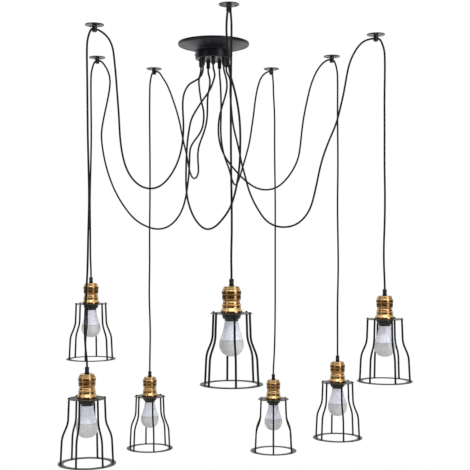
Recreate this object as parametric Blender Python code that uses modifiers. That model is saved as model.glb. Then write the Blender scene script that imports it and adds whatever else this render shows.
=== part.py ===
"""A spider pendant light: seven wire-cage lamps whose cords swag from one canopy to seven ceiling hooks.

Metres, +Z up. The origin is the middle of the canopy's face on the ceiling, and the ceiling is the plane
z = 0. For someone who faces the light, +X is to the right and +Y is away.
"""
import math

import bmesh
import bpy
import numpy as np
from mathutils import Matrix, Vector

# Whole light
SPREAD = 0.468
LONGEST_DROP = 1.0135
FIT = 0.0003
OVERRUN = 0.002

# Pendants, in order round the canopy. Bearings and turns are in degrees, anticlockwise seen from above
HOOK_DISTANCE_SHARES = (0.832, 0.902, 0.961, 0.943, 0.876, 1.0, 0.965)
HOOK_BEARINGS = (216.8, 150.3, 117.2, 65.6, 28.1, 345.8, 276.0)
BORE_BEARINGS = (225, 150, 130, 72, 38, 346, 285)
DROP_SHARES = (0.8967, 0.6759, 0.990, 1.0, 0.916, 0.6992, 0.6606)
GRIP_SEATS = (6, 5, 4, 3, 1, 2, 0)
CAGE_TURNS = (44.5, -6, 16, -2, 9.5, 16, 9)
PENDANTS = range(len(DROP_SHARES))

# Cord
CORD_RADIUS = 0.0024
CORD_PLAY = 0.0009
CORD_SIDE_REACH = 0.0177
CORD_FALL_REACH = 0.0510
CORD_LEAD = 0.010
CORD_STEP_LENGTH = 0.12
CORD_STEP_TURN = math.radians(26)

# Canopy plate: a dish that hides the hole in the ceiling
PLATE_RADIUS = 0.103
PLATE_DEPTH = 0.0246
PLATE_WALL = 0.0015
PLATE_SEAT = 0.0045
PLATE_LIP = 0.0016

# Canopy cup, which holds the wiring and the cord grips
CUP_RADIUS = 0.053
CUP_HEIGHT = 0.0231
CUP_WALL = 0.0015
CUP_EDGE_RADIUS = 0.003

# Bracket on the ceiling, inside the canopy
BRACKET_THICKNESS = 0.002
BRACKET_WIDTH = 0.018
EAR_LENGTH = 0.0415
EAR_HOLE_SHARE = 0.83
BRACKET_HOLE_SHARE = 0.62
SCREW_RADIUS = 0.0020

# Cord grips of the canopy: seven nozzles on one ring inside the cup
GRIP_CIRCLE_SHARE = 0.717
GRIP_RADIUS = 0.0060
GRIP_LENGTH = 0.021
GRIP_RING_WIDTH = 0.015
GRIP_RING_THICKNESS = 0.002

# Ceiling hook, with its clamp screw as the rounded end of the boss
HOOK_RADIUS = 0.0255
HOOK_THICKNESS = 0.0025
BOSS_RADIUS = 0.0068
BOSS_DEPTH = 0.0205
BORE_DROP = 0.012
HOOK_HOLE_SHARE = 0.686

# Cord grip of a lamp
LAMP_GRIP_RADIUS = 0.0060
LAMP_GRIP_HEIGHT = 0.018
LAMP_STUB_RADIUS = 0.0042
LAMP_STUB_LENGTH = 0.005

# Brass lamp holder
HOLDER_RADIUS = 0.0264
HOLDER_HEIGHT = 0.0638
HOLDER_WALL = 0.0012

# Lamp socket, with the collar that carries the cage
SOCKET_DROP = 0.0175
SOCKET_REACH_SHARE = 0.86
COLLAR_RIM = 0.0065
COLLAR_HEIGHT = 0.012
BULB_CAP_RADIUS = 0.0132
BULB_CAP_LENGTH = 0.024

# Bulb
BULB_RADIUS = 0.030
BULB_HEIGHT = 0.086

# Wire cage
CAGE_RADIUS = 0.0768
CAGE_HEIGHT = 0.170
CAGE_WIRES = 6
WIRE_RADIUS = 0.0023
WIRE_HEAD = 0.003
DISC_RADIUS = 0.051
DISC_THICKNESS = 0.0015
DISC_EDGE = 0.004
BASE_RING_WIDTH = 0.0153
BASE_RING_THICKNESS = 0.002

# Profiles as shares of a radius and a height, from the top down the outer side. The plate's radius is
# counted from its lip
PLATE_SHARES = (
    (1.0, 0.0), (1.0, 0.20), (0.98, 0.29), (0.93, 0.35), (0.72, 0.475), (0.425, 0.645), (0.16, 0.83),
    (0.05, 0.94), (0.0, 1.0))
HOLDER_SHARES = (
    (0.66, 0.0), (0.735, 0.030), (0.735, 0.134), (0.875, 0.187), (0.855, 0.522), (0.762, 0.582),
    (0.909, 0.700), (0.83, 0.78), (1.0, 0.910), (1.0, 1.0))
BULB_SHARES = (
    (0.55, 0.0), (0.64, 0.222), (0.77, 0.367), (0.925, 0.505), (1.0, 0.644), (0.94, 0.790), (0.70, 0.918),
    (0.35, 0.983))
GRIP_SHARES = ((1.0, 0.0), (0.90, 0.90), (0.70, 1.0))
LAMP_GRIP_SHARES = ((0.76, 0.0), (0.94, 0.10), (0.94, 0.44), (0.80, 0.56), (1.0, 0.80), (1.0, 1.0))
BOSS_SHARES = ((1.0, 0.78), (0.76, 0.95))
WIRE_SHARES = ((0.10, 0.33), (0.20, 0.41), (0.81, 0.56), (0.90, 0.63))

CORD_OVER_SHARES = ((0.220, 0.057), (0.367, 0.122), (0.605, 0.298), (0.814, 0.516), (0.960, 0.773), (1.0, 1.0))

# Free cords: points between the canopy's grips and the hooks, and between the hooks and the lamps
SWAG_ROUTES = (
    [(-0.031, -0.024, -0.088), (-0.037, -0.029, -0.102), (-0.050, -0.038, -0.115), (-0.066, -0.051, -0.127),
     (-0.077, -0.059, -0.143), (-0.084, -0.064, -0.164), (-0.086, -0.066, -0.189), (-0.085, -0.065, -0.220),
     (-0.084, -0.064, -0.254), (-0.086, -0.065, -0.288), (-0.091, -0.069, -0.320), (-0.100, -0.076, -0.352),
     (-0.114, -0.086, -0.382), (-0.131, -0.099, -0.407), (-0.151, -0.114, -0.424), (-0.173, -0.130, -0.430),
     (-0.195, -0.146, -0.425), (-0.215, -0.161, -0.409), (-0.232, -0.174, -0.381), (-0.243, -0.182, -0.342),
     (-0.249, -0.186, -0.297), (-0.252, -0.188, -0.243), (-0.256, -0.192, -0.181), (-0.260, -0.195, -0.125),
     (-0.264, -0.197, -0.082), (-0.269, -0.201, -0.051), (-0.280, -0.210, -0.029), (-0.294, -0.219, -0.017)],
    [(-0.042, 0.010, -0.100), (-0.041, 0.010, -0.135), (-0.036, 0.009, -0.167), (-0.030, 0.008, -0.193),
     (-0.029, 0.009, -0.219), (-0.033, 0.012, -0.243), (-0.044, 0.017, -0.265), (-0.058, 0.024, -0.283),
     (-0.068, 0.029, -0.301), (-0.071, 0.033, -0.324), (-0.072, 0.035, -0.353), (-0.074, 0.038, -0.383),
     (-0.078, 0.042, -0.415), (-0.084, 0.048, -0.448), (-0.094, 0.056, -0.480), (-0.112, 0.069, -0.509),
     (-0.138, 0.085, -0.530), (-0.169, 0.103, -0.537), (-0.204, 0.122, -0.529), (-0.239, 0.139, -0.509),
     (-0.271, 0.155, -0.475), (-0.299, 0.170, -0.433), (-0.322, 0.182, -0.384), (-0.339, 0.191, -0.331),
     (-0.349, 0.197, -0.281), (-0.352, 0.199, -0.240), (-0.346, 0.197, -0.197), (-0.336, 0.191, -0.154),
     (-0.327, 0.186, -0.112), (-0.324, 0.184, -0.075), (-0.331, 0.188, -0.047), (-0.344, 0.195, -0.025)],
    [(-0.013, 0.032, -0.094), (-0.012, 0.033, -0.116), (-0.017, 0.038, -0.142), (-0.019, 0.041, -0.174),
     (-0.020, 0.044, -0.208), (-0.026, 0.053, -0.240), (-0.037, 0.067, -0.269), (-0.047, 0.080, -0.299),
     (-0.049, 0.088, -0.325), (-0.048, 0.096, -0.348), (-0.049, 0.112, -0.368), (-0.060, 0.143, -0.382),
     (-0.072, 0.172, -0.372), (-0.081, 0.195, -0.343), (-0.088, 0.213, -0.307), (-0.097, 0.232, -0.271),
     (-0.105, 0.243, -0.235), (-0.113, 0.252, -0.196), (-0.125, 0.266, -0.153), (-0.140, 0.285, -0.109),
     (-0.157, 0.310, -0.068), (-0.175, 0.340, -0.037)],
    [(0.018, 0.036, -0.098), (0.020, 0.039, -0.130), (0.021, 0.041, -0.165), (0.021, 0.044, -0.200),
     (0.020, 0.046, -0.235), (0.021, 0.051, -0.267), (0.025, 0.061, -0.298), (0.033, 0.076, -0.328),
     (0.043, 0.095, -0.354), (0.050, 0.115, -0.378), (0.057, 0.137, -0.396), (0.064, 0.161, -0.400),
     (0.072, 0.184, -0.387), (0.081, 0.207, -0.359), (0.091, 0.230, -0.324), (0.101, 0.253, -0.287),
     (0.109, 0.268, -0.251), (0.115, 0.278, -0.212), (0.121, 0.287, -0.169), (0.126, 0.294, -0.128),
     (0.133, 0.302, -0.087), (0.143, 0.318, -0.052), (0.156, 0.345, -0.029)],
    [(0.033, -0.024, -0.093), (0.038, -0.022, -0.114), (0.038, -0.020, -0.138), (0.032, -0.017, -0.163),
     (0.024, -0.013, -0.189), (0.017, -0.008, -0.216), (0.014, -0.002, -0.244), (0.015, 0.004, -0.272),
     (0.021, 0.011, -0.300), (0.032, 0.019, -0.326), (0.049, 0.029, -0.350), (0.071, 0.041, -0.375),
     (0.099, 0.056, -0.400), (0.127, 0.072, -0.416), (0.158, 0.088, -0.420), (0.188, 0.103, -0.411),
     (0.216, 0.119, -0.387), (0.238, 0.132, -0.356), (0.254, 0.143, -0.320), (0.261, 0.149, -0.283),
     (0.266, 0.153, -0.239), (0.273, 0.156, -0.190), (0.283, 0.158, -0.141), (0.295, 0.162, -0.094),
     (0.310, 0.167, -0.057), (0.327, 0.174, -0.031)],
    [(0.046, 0.006, -0.100), (0.048, 0.003, -0.136), (0.050, -0.001, -0.171), (0.053, -0.005, -0.209),
     (0.058, -0.010, -0.245), (0.066, -0.015, -0.280), (0.074, -0.021, -0.315), (0.081, -0.027, -0.350),
     (0.090, -0.033, -0.385), (0.100, -0.039, -0.423), (0.114, -0.044, -0.459), (0.131, -0.050, -0.490),
     (0.153, -0.056, -0.518), (0.178, -0.061, -0.532), (0.205, -0.067, -0.535), (0.231, -0.073, -0.529),
     (0.255, -0.079, -0.511), (0.273, -0.084, -0.483), (0.284, -0.087, -0.447), (0.293, -0.089, -0.406),
     (0.302, -0.091, -0.364), (0.314, -0.093, -0.324), (0.330, -0.095, -0.283), (0.345, -0.096, -0.246),
     (0.356, -0.098, -0.205), (0.366, -0.098, -0.161), (0.374, -0.099, -0.116), (0.384, -0.099, -0.074),
     (0.400, -0.102, -0.041), (0.422, -0.107, -0.018)],
    [(0.004, -0.039, -0.097), (0.000, -0.040, -0.117), (-0.008, -0.042, -0.139), (-0.021, -0.045, -0.160),
     (-0.035, -0.050, -0.181), (-0.049, -0.056, -0.204), (-0.061, -0.064, -0.229), (-0.067, -0.073, -0.257),
     (-0.071, -0.083, -0.288), (-0.073, -0.094, -0.320), (-0.074, -0.106, -0.354), (-0.074, -0.119, -0.389),
     (-0.073, -0.133, -0.423), (-0.068, -0.150, -0.460), (-0.057, -0.170, -0.495), (-0.039, -0.195, -0.526),
     (-0.015, -0.224, -0.544), (0.008, -0.254, -0.539), (0.029, -0.284, -0.520), (0.048, -0.312, -0.493),
     (0.060, -0.336, -0.462), (0.068, -0.357, -0.426), (0.073, -0.375, -0.389), (0.075, -0.390, -0.347),
     (0.075, -0.404, -0.307), (0.072, -0.412, -0.265), (0.066, -0.418, -0.228), (0.058, -0.422, -0.195),
     (0.050, -0.424, -0.165), (0.046, -0.425, -0.132), (0.043, -0.425, -0.095), (0.041, -0.425, -0.058),
     (0.042, -0.430, -0.030)])
DROP_ROUTES = (
    [(-0.329, -0.250, -0.125), (-0.328, -0.250, -0.210), (-0.327, -0.250, -0.300), (-0.325, -0.250, -0.390),
     (-0.324, -0.250, -0.475), (-0.326, -0.250, -0.560), (-0.328, -0.250, -0.650), (-0.332, -0.250, -0.730),
     (-0.335, -0.250, -0.810), (-0.332, -0.250, -0.870)],
    [(-0.388, 0.221, -0.120), (-0.387, 0.221, -0.245), (-0.389, 0.221, -0.350), (-0.391, 0.221, -0.450),
     (-0.390, 0.221, -0.550), (-0.389, 0.221, -0.640)],
    [(-0.222, 0.419, -0.135), (-0.221, 0.419, -0.280), (-0.221, 0.419, -0.445), (-0.222, 0.419, -0.550),
     (-0.222, 0.419, -0.650), (-0.223, 0.419, -0.755), (-0.220, 0.419, -0.875), (-0.221, 0.419, -0.950)],
    [(0.193, 0.425, -0.130), (0.194, 0.425, -0.240), (0.195, 0.425, -0.350), (0.196, 0.425, -0.435),
     (0.196, 0.425, -0.550), (0.196, 0.425, -0.665), (0.196, 0.425, -0.755), (0.195, 0.425, -0.870),
     (0.192, 0.425, -0.960)],
    [(0.381, 0.208, -0.160), (0.382, 0.208, -0.290), (0.382, 0.208, -0.355), (0.381, 0.208, -0.450),
     (0.382, 0.208, -0.550), (0.383, 0.208, -0.660), (0.381, 0.208, -0.770), (0.381, 0.208, -0.870)],
    [(0.477, -0.121, -0.160), (0.477, -0.121, -0.275), (0.477, -0.121, -0.370), (0.478, -0.121, -0.440),
     (0.477, -0.121, -0.530), (0.475, -0.121, -0.600), (0.476, -0.121, -0.660)],
    [(0.053, -0.473, -0.130), (0.052, -0.473, -0.205), (0.052, -0.473, -0.325), (0.053, -0.473, -0.430),
     (0.054, -0.473, -0.500), (0.054, -0.473, -0.565), (0.053, -0.473, -0.620)])

# Sides of the round pieces
PLATE_SIDES = 30
CUP_SIDES = 22
DISC_SIDES = 14
BASE_RING_SIDES = 16
HOLDER_SIDES = 12
LAMP_SIDES = 12
HOOK_SIDES = 12
SMALL_SIDES = 8
HOLE_SIDES = 6
SHARP_ANGLE = math.radians(35)

# Sizes that follow from those above
CORD_HANG = BOSS_RADIUS + CORD_SIDE_REACH
BORE_RADIUS = (CORD_RADIUS + CORD_PLAY) / math.cos(math.pi / SMALL_SIDES)
CUP_TOP = -PLATE_DEPTH - FIT
CUP_BOTTOM = CUP_TOP - CUP_HEIGHT
CUP_INSIDE = CUP_RADIUS - CUP_WALL
CUP_FLOOR = CUP_BOTTOM + CUP_WALL
PLATE_OPENING = CUP_RADIUS - PLATE_SEAT
OPENING_FLAT = PLATE_OPENING * math.cos(math.pi / PLATE_SIDES)
EAR_FACE = math.sqrt((OPENING_FLAT - FIT) ** 2 - (BRACKET_WIDTH / 2) ** 2)
GRIP_CIRCLE = CUP_RADIUS * GRIP_CIRCLE_SHARE
GRIP_RING_TOP = CUP_FLOOR + FIT + GRIP_RING_THICKNESS
GRIP_TIP = CUP_BOTTOM - GRIP_LENGTH
HOLDER_TOP = -LAMP_GRIP_HEIGHT - FIT
HOLDER_BOTTOM = HOLDER_TOP - HOLDER_HEIGHT
HOLDER_BORE = HOLDER_RADIUS * min(across for across, down in HOLDER_SHARES[1:]) - HOLDER_WALL
DISC_TOP = HOLDER_BOTTOM - FIT
DISC_BOTTOM = DISC_TOP - DISC_THICKNESS
SOCKET_RADIUS = HOLDER_BORE * math.cos(math.pi / HOLDER_SIDES) - FIT
SOCKET_TOP = HOLDER_BOTTOM + HOLDER_HEIGHT * SOCKET_REACH_SHARE
SOCKET_BOTTOM = DISC_BOTTOM - SOCKET_DROP
SOCKET_BORE = (BULB_CAP_RADIUS + FIT) / math.cos(math.pi / LAMP_SIDES)
BASE_RING_TOP = DISC_BOTTOM - CAGE_HEIGHT
BASE_RING_BOTTOM = BASE_RING_TOP - BASE_RING_THICKNESS

LIGHT = bpy.data.collections.new("pendant_light")
CUTTERS = bpy.data.collections.new("cutters")


def clear_scene():
    for old in list(bpy.data.objects):
        bpy.data.objects.remove(old, do_unlink=True)
    bpy.context.scene.collection.children.link(LIGHT)
    bpy.context.scene.collection.children.link(CUTTERS)


def finish(name, colour, roughness, metallic):
    material = bpy.data.materials.new(name)
    material.use_nodes = True
    shader = material.node_tree.nodes["Principled BSDF"]
    shader.inputs["Base Color"].default_value = (*colour, 1.0)
    shader.inputs["Roughness"].default_value = roughness
    shader.inputs["Metallic"].default_value = metallic
    return material


def add_object(name, data):
    made = bpy.data.objects.new(name, data)
    LIGHT.objects.link(made)
    return made


def turned(name, profile, sides):
    """A shape turned about Z from a profile of (radius, height), which runs down its outer side."""
    mesh = bpy.data.meshes.new(name)
    shape = bmesh.new()
    points = [shape.verts.new((radius, 0.0, height)) for radius, height in profile]
    for start, end in zip(points, points[1:]):
        shape.edges.new((start, end))
    if profile[0][0] > 0.0:
        shape.edges.new((points[-1], points[0]))
    shape.to_mesh(mesh)
    shape.free()
    piece = add_object(name, mesh)
    screw = piece.modifiers.new("turn", 'SCREW')
    screw.steps = sides
    screw.render_steps = sides
    screw.use_merge_vertices = True
    screw.merge_threshold = 0.00001
    return piece


def cylinder(name, radius, length, sides, matrix):
    """A cylinder along the matrix's Z, with its middle at the matrix's place."""
    mesh = bpy.data.meshes.new(name)
    shape = bmesh.new()
    bmesh.ops.create_cone(shape, cap_ends=True, segments=sides, radius1=radius, radius2=radius, depth=length,
                          matrix=matrix)
    shape.to_mesh(mesh)
    shape.free()
    return add_object(name, mesh)


def combine(piece, other, operation):
    """Cut another shape out of a piece, or join it on."""
    LIGHT.objects.unlink(other)
    CUTTERS.objects.link(other)
    other.hide_render = True
    other.display_type = 'WIRE'
    boolean = piece.modifiers.new(other.name, 'BOOLEAN')
    boolean.operation = operation
    boolean.solver = 'EXACT'
    boolean.object = other


def finished_mesh(piece, material):
    """The piece's mesh, with its modifiers applied and a curve's caps welded on. The piece is removed."""
    bpy.context.view_layer.update()
    evaluated = piece.evaluated_get(bpy.context.evaluated_depsgraph_get())
    mesh = bpy.data.meshes.new_from_object(evaluated)
    mesh.transform(piece.matrix_world)
    name = piece.name
    bpy.data.objects.remove(piece, do_unlink=True)
    mesh.name = name
    shape = bmesh.new()
    shape.from_mesh(mesh)
    bmesh.ops.remove_doubles(shape, verts=shape.verts, dist=0.00001)
    bmesh.ops.recalc_face_normals(shape, faces=shape.faces)
    shape.to_mesh(mesh)
    shape.free()
    mesh.materials.clear()
    mesh.materials.append(material)
    mesh.shade_smooth()
    mesh.set_sharp_from_angle(angle=SHARP_ANGLE)
    return mesh


def scaled(shares, radius, height, top):
    """A profile in metres from shares of a radius and of a height below the top."""
    return [(radius * across, top - height * down) for across, down in shares]


def smooth_curve(route):
    """Points of a cubic spline through the route, closer together where it bends.

    A new point comes after each CORD_STEP_LENGTH of cord or CORD_STEP_TURN of bend, or a share of both.
    """
    points = np.array(route)
    spans = np.linalg.norm(np.diff(points, axis=0), axis=1)
    along = np.concatenate(([0.0], np.cumsum(spans)))
    count = len(points)
    matrix = np.eye(count)
    right = np.zeros((count, 3))
    for i in range(1, count - 1):
        matrix[i, i - 1:i + 2] = spans[i - 1], 2 * (spans[i - 1] + spans[i]), spans[i]
        right[i] = 6 * ((points[i + 1] - points[i]) / spans[i] - (points[i] - points[i - 1]) / spans[i - 1])
    bend = np.linalg.solve(matrix, right)
    fine = np.linspace(0.0, along[-1], 40 * count)
    span = np.clip(np.searchsorted(along, fine) - 1, 0, count - 2)
    width = spans[span][:, None]
    ahead = (along[span + 1] - fine)[:, None]
    behind = (fine - along[span])[:, None]
    curve = (bend[span] * ahead ** 3 + bend[span + 1] * behind ** 3) / (6 * width)
    curve += (points[span] / width - bend[span] * width / 6) * ahead
    curve += (points[span + 1] / width - bend[span + 1] * width / 6) * behind
    steps = np.diff(curve, axis=0)
    lengths = np.linalg.norm(steps, axis=1)
    ways = steps / lengths[:, None]
    turns = np.arccos(np.clip(np.sum(ways[1:] * ways[:-1], axis=1), -1.0, 1.0))
    effort = np.concatenate(([0.0], np.cumsum(lengths))) / CORD_STEP_LENGTH
    effort[1:-1] += np.cumsum(turns) / CORD_STEP_TURN
    effort[-1] += np.sum(turns) / CORD_STEP_TURN
    marks = np.linspace(0.0, effort[-1], math.ceil(effort[-1]) + 1)
    return [Vector([np.interp(mark, effort, curve[:, axis]) for axis in range(3)]) for mark in marks]


def tube(name, points, radius, resolution, material):
    """A round tube along the points, with closed ends."""
    data = bpy.data.curves.new(name, 'CURVE')
    data.dimensions = '3D'
    spline = data.splines.new('POLY')
    spline.points.add(len(points) - 1)
    for place, point in zip(spline.points, points):
        place.co = (*point, 1.0)
    data.bevel_depth = radius
    data.bevel_resolution = resolution
    data.use_fill_caps = True
    data.materials.append(material)
    return add_object(name, data)


def flat_strip(name, outline, width):
    """An outline in X and Z, with half the width to each side of it along Y."""
    data = bpy.data.curves.new(name, 'CURVE')
    data.dimensions = '2D'
    data.fill_mode = 'BOTH'
    data.extrude = width / 2
    spline = data.splines.new('POLY')
    spline.points.add(len(outline) - 1)
    for place, (across, up) in zip(spline.points, outline):
        place.co = (across, up, 0.0, 1.0)
    spline.use_cyclic_u = True
    strip = add_object(name, data)
    strip.rotation_euler.x = math.pi / 2
    return strip


def on_bearing(distance, degrees, height):
    angle = math.radians(degrees)
    return Vector((distance * math.cos(angle), distance * math.sin(angle), height))


def hook_place(n):
    return on_bearing(SPREAD * HOOK_DISTANCE_SHARES[n], HOOK_BEARINGS[n], 0.0)


def bore_place(n):
    return hook_place(n) - Vector((0.0, 0.0, BORE_DROP))


def lamp_place(n):
    """The top of a lamp's cord grip."""
    place = hook_place(n) + on_bearing(CORD_HANG, BORE_BEARINGS[n], 0.0)
    place.z = -LONGEST_DROP * DROP_SHARES[n]
    return place


def grip_place(n, height):
    return on_bearing(GRIP_CIRCLE, GRIP_SEATS[n] * 360 / len(GRIP_SEATS) - 90, height)


def grip_seat(n, height):
    """A nozzle and its hole, turned alike so that no corner meets an edge of the cup's floor."""
    return Matrix.Translation(grip_place(n, height)) @ Matrix.Rotation(math.pi / SMALL_SIDES / 3, 4, 'Z')


def shell(profile, wall):
    """The profile with an inner side, one wall's thickness from it."""
    inner = []
    for before, point, after in zip([profile[0], *profile], profile, [*profile[1:], profile[-1]]):
        way = (Vector(after) - Vector(before)).normalized()
        inner.append((point[0] + wall * way.y, point[1] - wall * way.x))
    return [*profile, *reversed(inner)]


def make_canopy_plate(material):
    """The dish falls from its rim to a lip just outside the cup, and the cup's edge sits against its floor."""
    lip = CUP_RADIUS + PLATE_LIP
    outside = [(lip + across, fall) for across, fall in scaled(PLATE_SHARES, PLATE_RADIUS - lip, PLATE_DEPTH, 0.0)]
    profile = shell([*outside, (PLATE_OPENING, -PLATE_DEPTH)], PLATE_WALL)
    add_object("canopy_plate", finished_mesh(turned("plate", profile, PLATE_SIDES), material))


def screw_hole_across(length):
    """A cutter along X for the screws that hold the cup to the bracket's ears."""
    lie = Matrix.Translation((0.0, 0.0, -EAR_LENGTH * EAR_HOLE_SHARE)) @ Matrix.Rotation(math.pi / 2, 4, 'Y')
    lie = lie @ Matrix.Rotation(math.pi / HOLE_SIDES, 4, 'Z')
    return cylinder("cup_screw_hole", SCREW_RADIUS + FIT, length, HOLE_SIDES, lie)


def make_canopy_cup(material):
    turn = CUP_EDGE_RADIUS / 2
    profile = [(0.0, CUP_FLOOR), (CUP_INSIDE - turn, CUP_FLOOR), (CUP_INSIDE, CUP_FLOOR + turn),
               (CUP_INSIDE, CUP_TOP), (CUP_RADIUS, CUP_TOP)]
    for third in (0, 1, 2, 3):
        angle = third * math.pi / 6
        across = CUP_RADIUS - CUP_EDGE_RADIUS * (1 - math.cos(angle))
        profile.append((across, CUP_BOTTOM + CUP_EDGE_RADIUS * (1 - math.sin(angle))))
    profile.append((0.0, CUP_BOTTOM))
    cup = turned("cup", profile, CUP_SIDES)
    depth = CUP_WALL + OVERRUN
    for n in PENDANTS:
        seat = grip_seat(n, (CUP_BOTTOM + CUP_FLOOR) / 2)
        combine(cup, cylinder(f"grip_hole_{n + 1}", GRIP_RADIUS + FIT, depth, SMALL_SIDES, seat), 'DIFFERENCE')
    combine(cup, screw_hole_across(2 * CUP_RADIUS + OVERRUN), 'DIFFERENCE')
    add_object("canopy_cup", finished_mesh(cup, material))


def make_bracket(material):
    thick = BRACKET_THICKNESS
    inner = EAR_FACE - thick
    outline = [(-EAR_FACE, 0.0), (-EAR_FACE, -EAR_LENGTH), (-inner, -EAR_LENGTH), (-inner, -thick),
               (inner, -thick), (inner, -EAR_LENGTH), (EAR_FACE, -EAR_LENGTH), (EAR_FACE, 0.0)]
    strip = finished_mesh(flat_strip("bracket_strip", outline, BRACKET_WIDTH), material)
    bracket = add_object("bracket", strip)
    for side in (-1, 1):
        place = Matrix.Translation((side * EAR_FACE * BRACKET_HOLE_SHARE, 0.0, -thick / 2))
        hole = cylinder(f"bracket_hole_{side}", SCREW_RADIUS + FIT, thick + OVERRUN, HOLE_SIDES, place)
        combine(bracket, hole, 'DIFFERENCE')
    combine(bracket, screw_hole_across(2 * EAR_FACE + OVERRUN), 'DIFFERENCE')
    add_object("mounting_bracket", finished_mesh(bracket, material))


def make_canopy_grips(material):
    """Seven nozzles through the cup's floor, on a ring that rests on the floor inside."""
    low = CUP_FLOOR + FIT
    outside = GRIP_CIRCLE + GRIP_RING_WIDTH / 2
    inside = GRIP_CIRCLE - GRIP_RING_WIDTH / 2
    profile = [(outside, GRIP_RING_TOP), (outside, low), (inside, low), (inside, GRIP_RING_TOP)]
    ring = turned("grip_ring", profile, CUP_SIDES)
    middle = (GRIP_RING_TOP + low) / 2
    body = scaled(GRIP_SHARES, GRIP_RADIUS, GRIP_LENGTH, CUP_BOTTOM)
    profile = [(0.0, middle), (GRIP_RADIUS, middle), *body, (0.0, GRIP_TIP)]
    nozzle = finished_mesh(turned("grip_nozzle", profile, SMALL_SIDES), material)
    for n in PENDANTS:
        grip = add_object(f"grip_nozzle_{n + 1}", nozzle)
        grip.matrix_world = grip_seat(n, 0.0)
        combine(ring, grip, 'UNION')
    add_object("canopy_cord_grips", finished_mesh(ring, material))


def make_hooks(material):
    """Each hook's boss has a bore for the cord, along the way in which its drop leaves."""
    edge = HOOK_THICKNESS * 0.4
    profile = [(0.0, 0.0), (HOOK_RADIUS, 0.0), (HOOK_RADIUS, -HOOK_THICKNESS + edge),
               (HOOK_RADIUS - edge, -HOOK_THICKNESS), (BOSS_RADIUS, -HOOK_THICKNESS),
               *scaled(BOSS_SHARES, BOSS_RADIUS, BOSS_DEPTH, 0.0), (0.0, -BOSS_DEPTH)]
    hook = turned("hook", profile, HOOK_SIDES)
    lie = Matrix.Translation((0.0, 0.0, -BORE_DROP)) @ Matrix.Rotation(math.pi / 2, 4, 'Y')
    lie = lie @ Matrix.Rotation(math.pi / SMALL_SIDES, 4, 'Z')
    bore = cylinder("hook_bore", BORE_RADIUS, 2 * BOSS_RADIUS + OVERRUN, SMALL_SIDES, lie)
    combine(hook, bore, 'DIFFERENCE')
    for side in (-1, 1):
        place = Matrix.Translation((0.0, side * HOOK_RADIUS * HOOK_HOLE_SHARE, -HOOK_THICKNESS / 2))
        place = place @ Matrix.Rotation(math.pi / HOLE_SIDES, 4, 'Z')
        hole = cylinder(f"hook_hole_{side}", SCREW_RADIUS + FIT, HOOK_THICKNESS + OVERRUN, HOLE_SIDES, place)
        combine(hook, hole, 'DIFFERENCE')
    mesh = finished_mesh(hook, material)
    for n in PENDANTS:
        copy = add_object(f"ceiling_hook_{n + 1}", mesh)
        copy.location = hook_place(n)
        copy.rotation_euler.z = math.radians(BORE_BEARINGS[n])


def lamp_grip_mesh(material):
    low = -LAMP_GRIP_HEIGHT - LAMP_STUB_LENGTH
    body = scaled(LAMP_GRIP_SHARES, LAMP_GRIP_RADIUS, LAMP_GRIP_HEIGHT, 0.0)
    profile = [(0.0, 0.0), *body, (LAMP_STUB_RADIUS, -LAMP_GRIP_HEIGHT), (LAMP_STUB_RADIUS, low), (0.0, low)]
    return finished_mesh(turned("lamp_cord_grip", profile, SMALL_SIDES), material)


def lamp_holder_mesh(material):
    """A brass shell with a hole for the cord grip on top and a wider mouth over the cage's disc."""
    outside = scaled(HOLDER_SHARES, HOLDER_RADIUS, HOLDER_HEIGHT, HOLDER_TOP)
    hole = (LAMP_STUB_RADIUS + FIT) / math.cos(math.pi / HOLDER_SIDES)
    mouth = HOLDER_RADIUS - HOLDER_WALL
    mouth_top = outside[-2][1] - HOLDER_WALL
    ceiling = HOLDER_TOP - HOLDER_WALL
    profile = [(hole, HOLDER_TOP), *outside, (mouth, HOLDER_BOTTOM), (mouth, mouth_top),
               (HOLDER_BORE, mouth_top), (HOLDER_BORE, ceiling), (hole, ceiling)]
    return finished_mesh(turned("lamp_holder", profile, HOLDER_SIDES), material)


def lamp_socket_mesh(material):
    """The core fills the holder's bore and takes the bulb's cap, and its collar is below the cage's disc."""
    bore_top = SOCKET_BOTTOM + BULB_CAP_LENGTH + FIT
    collar = SOCKET_RADIUS + COLLAR_RIM
    collar_top = DISC_BOTTOM - FIT
    lip = (SOCKET_RADIUS + SOCKET_BORE) / 2
    collar_low = collar_top - COLLAR_HEIGHT
    profile = [(0.0, SOCKET_TOP), (SOCKET_RADIUS, SOCKET_TOP), (SOCKET_RADIUS, collar_top),
               (collar, collar_top), (collar, collar_top - COLLAR_HEIGHT / 4),
               (collar - COLLAR_RIM / 2, collar_low), (SOCKET_RADIUS, collar_low), (lip, SOCKET_BOTTOM),
               (SOCKET_BORE, SOCKET_BOTTOM), (SOCKET_BORE, bore_top), (0.0, bore_top)]
    return finished_mesh(turned("lamp_socket", profile, LAMP_SIDES), material)


def bulb_mesh(material):
    top = SOCKET_BOTTOM - FIT
    cap_top = SOCKET_BOTTOM + BULB_CAP_LENGTH
    globe = scaled(BULB_SHARES, BULB_RADIUS, BULB_HEIGHT, top)
    profile = [(0.0, cap_top), (BULB_CAP_RADIUS, cap_top), (BULB_CAP_RADIUS, top), *globe,
               (0.0, top - BULB_HEIGHT)]
    return finished_mesh(turned("bulb", profile, LAMP_SIDES), material)


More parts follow.
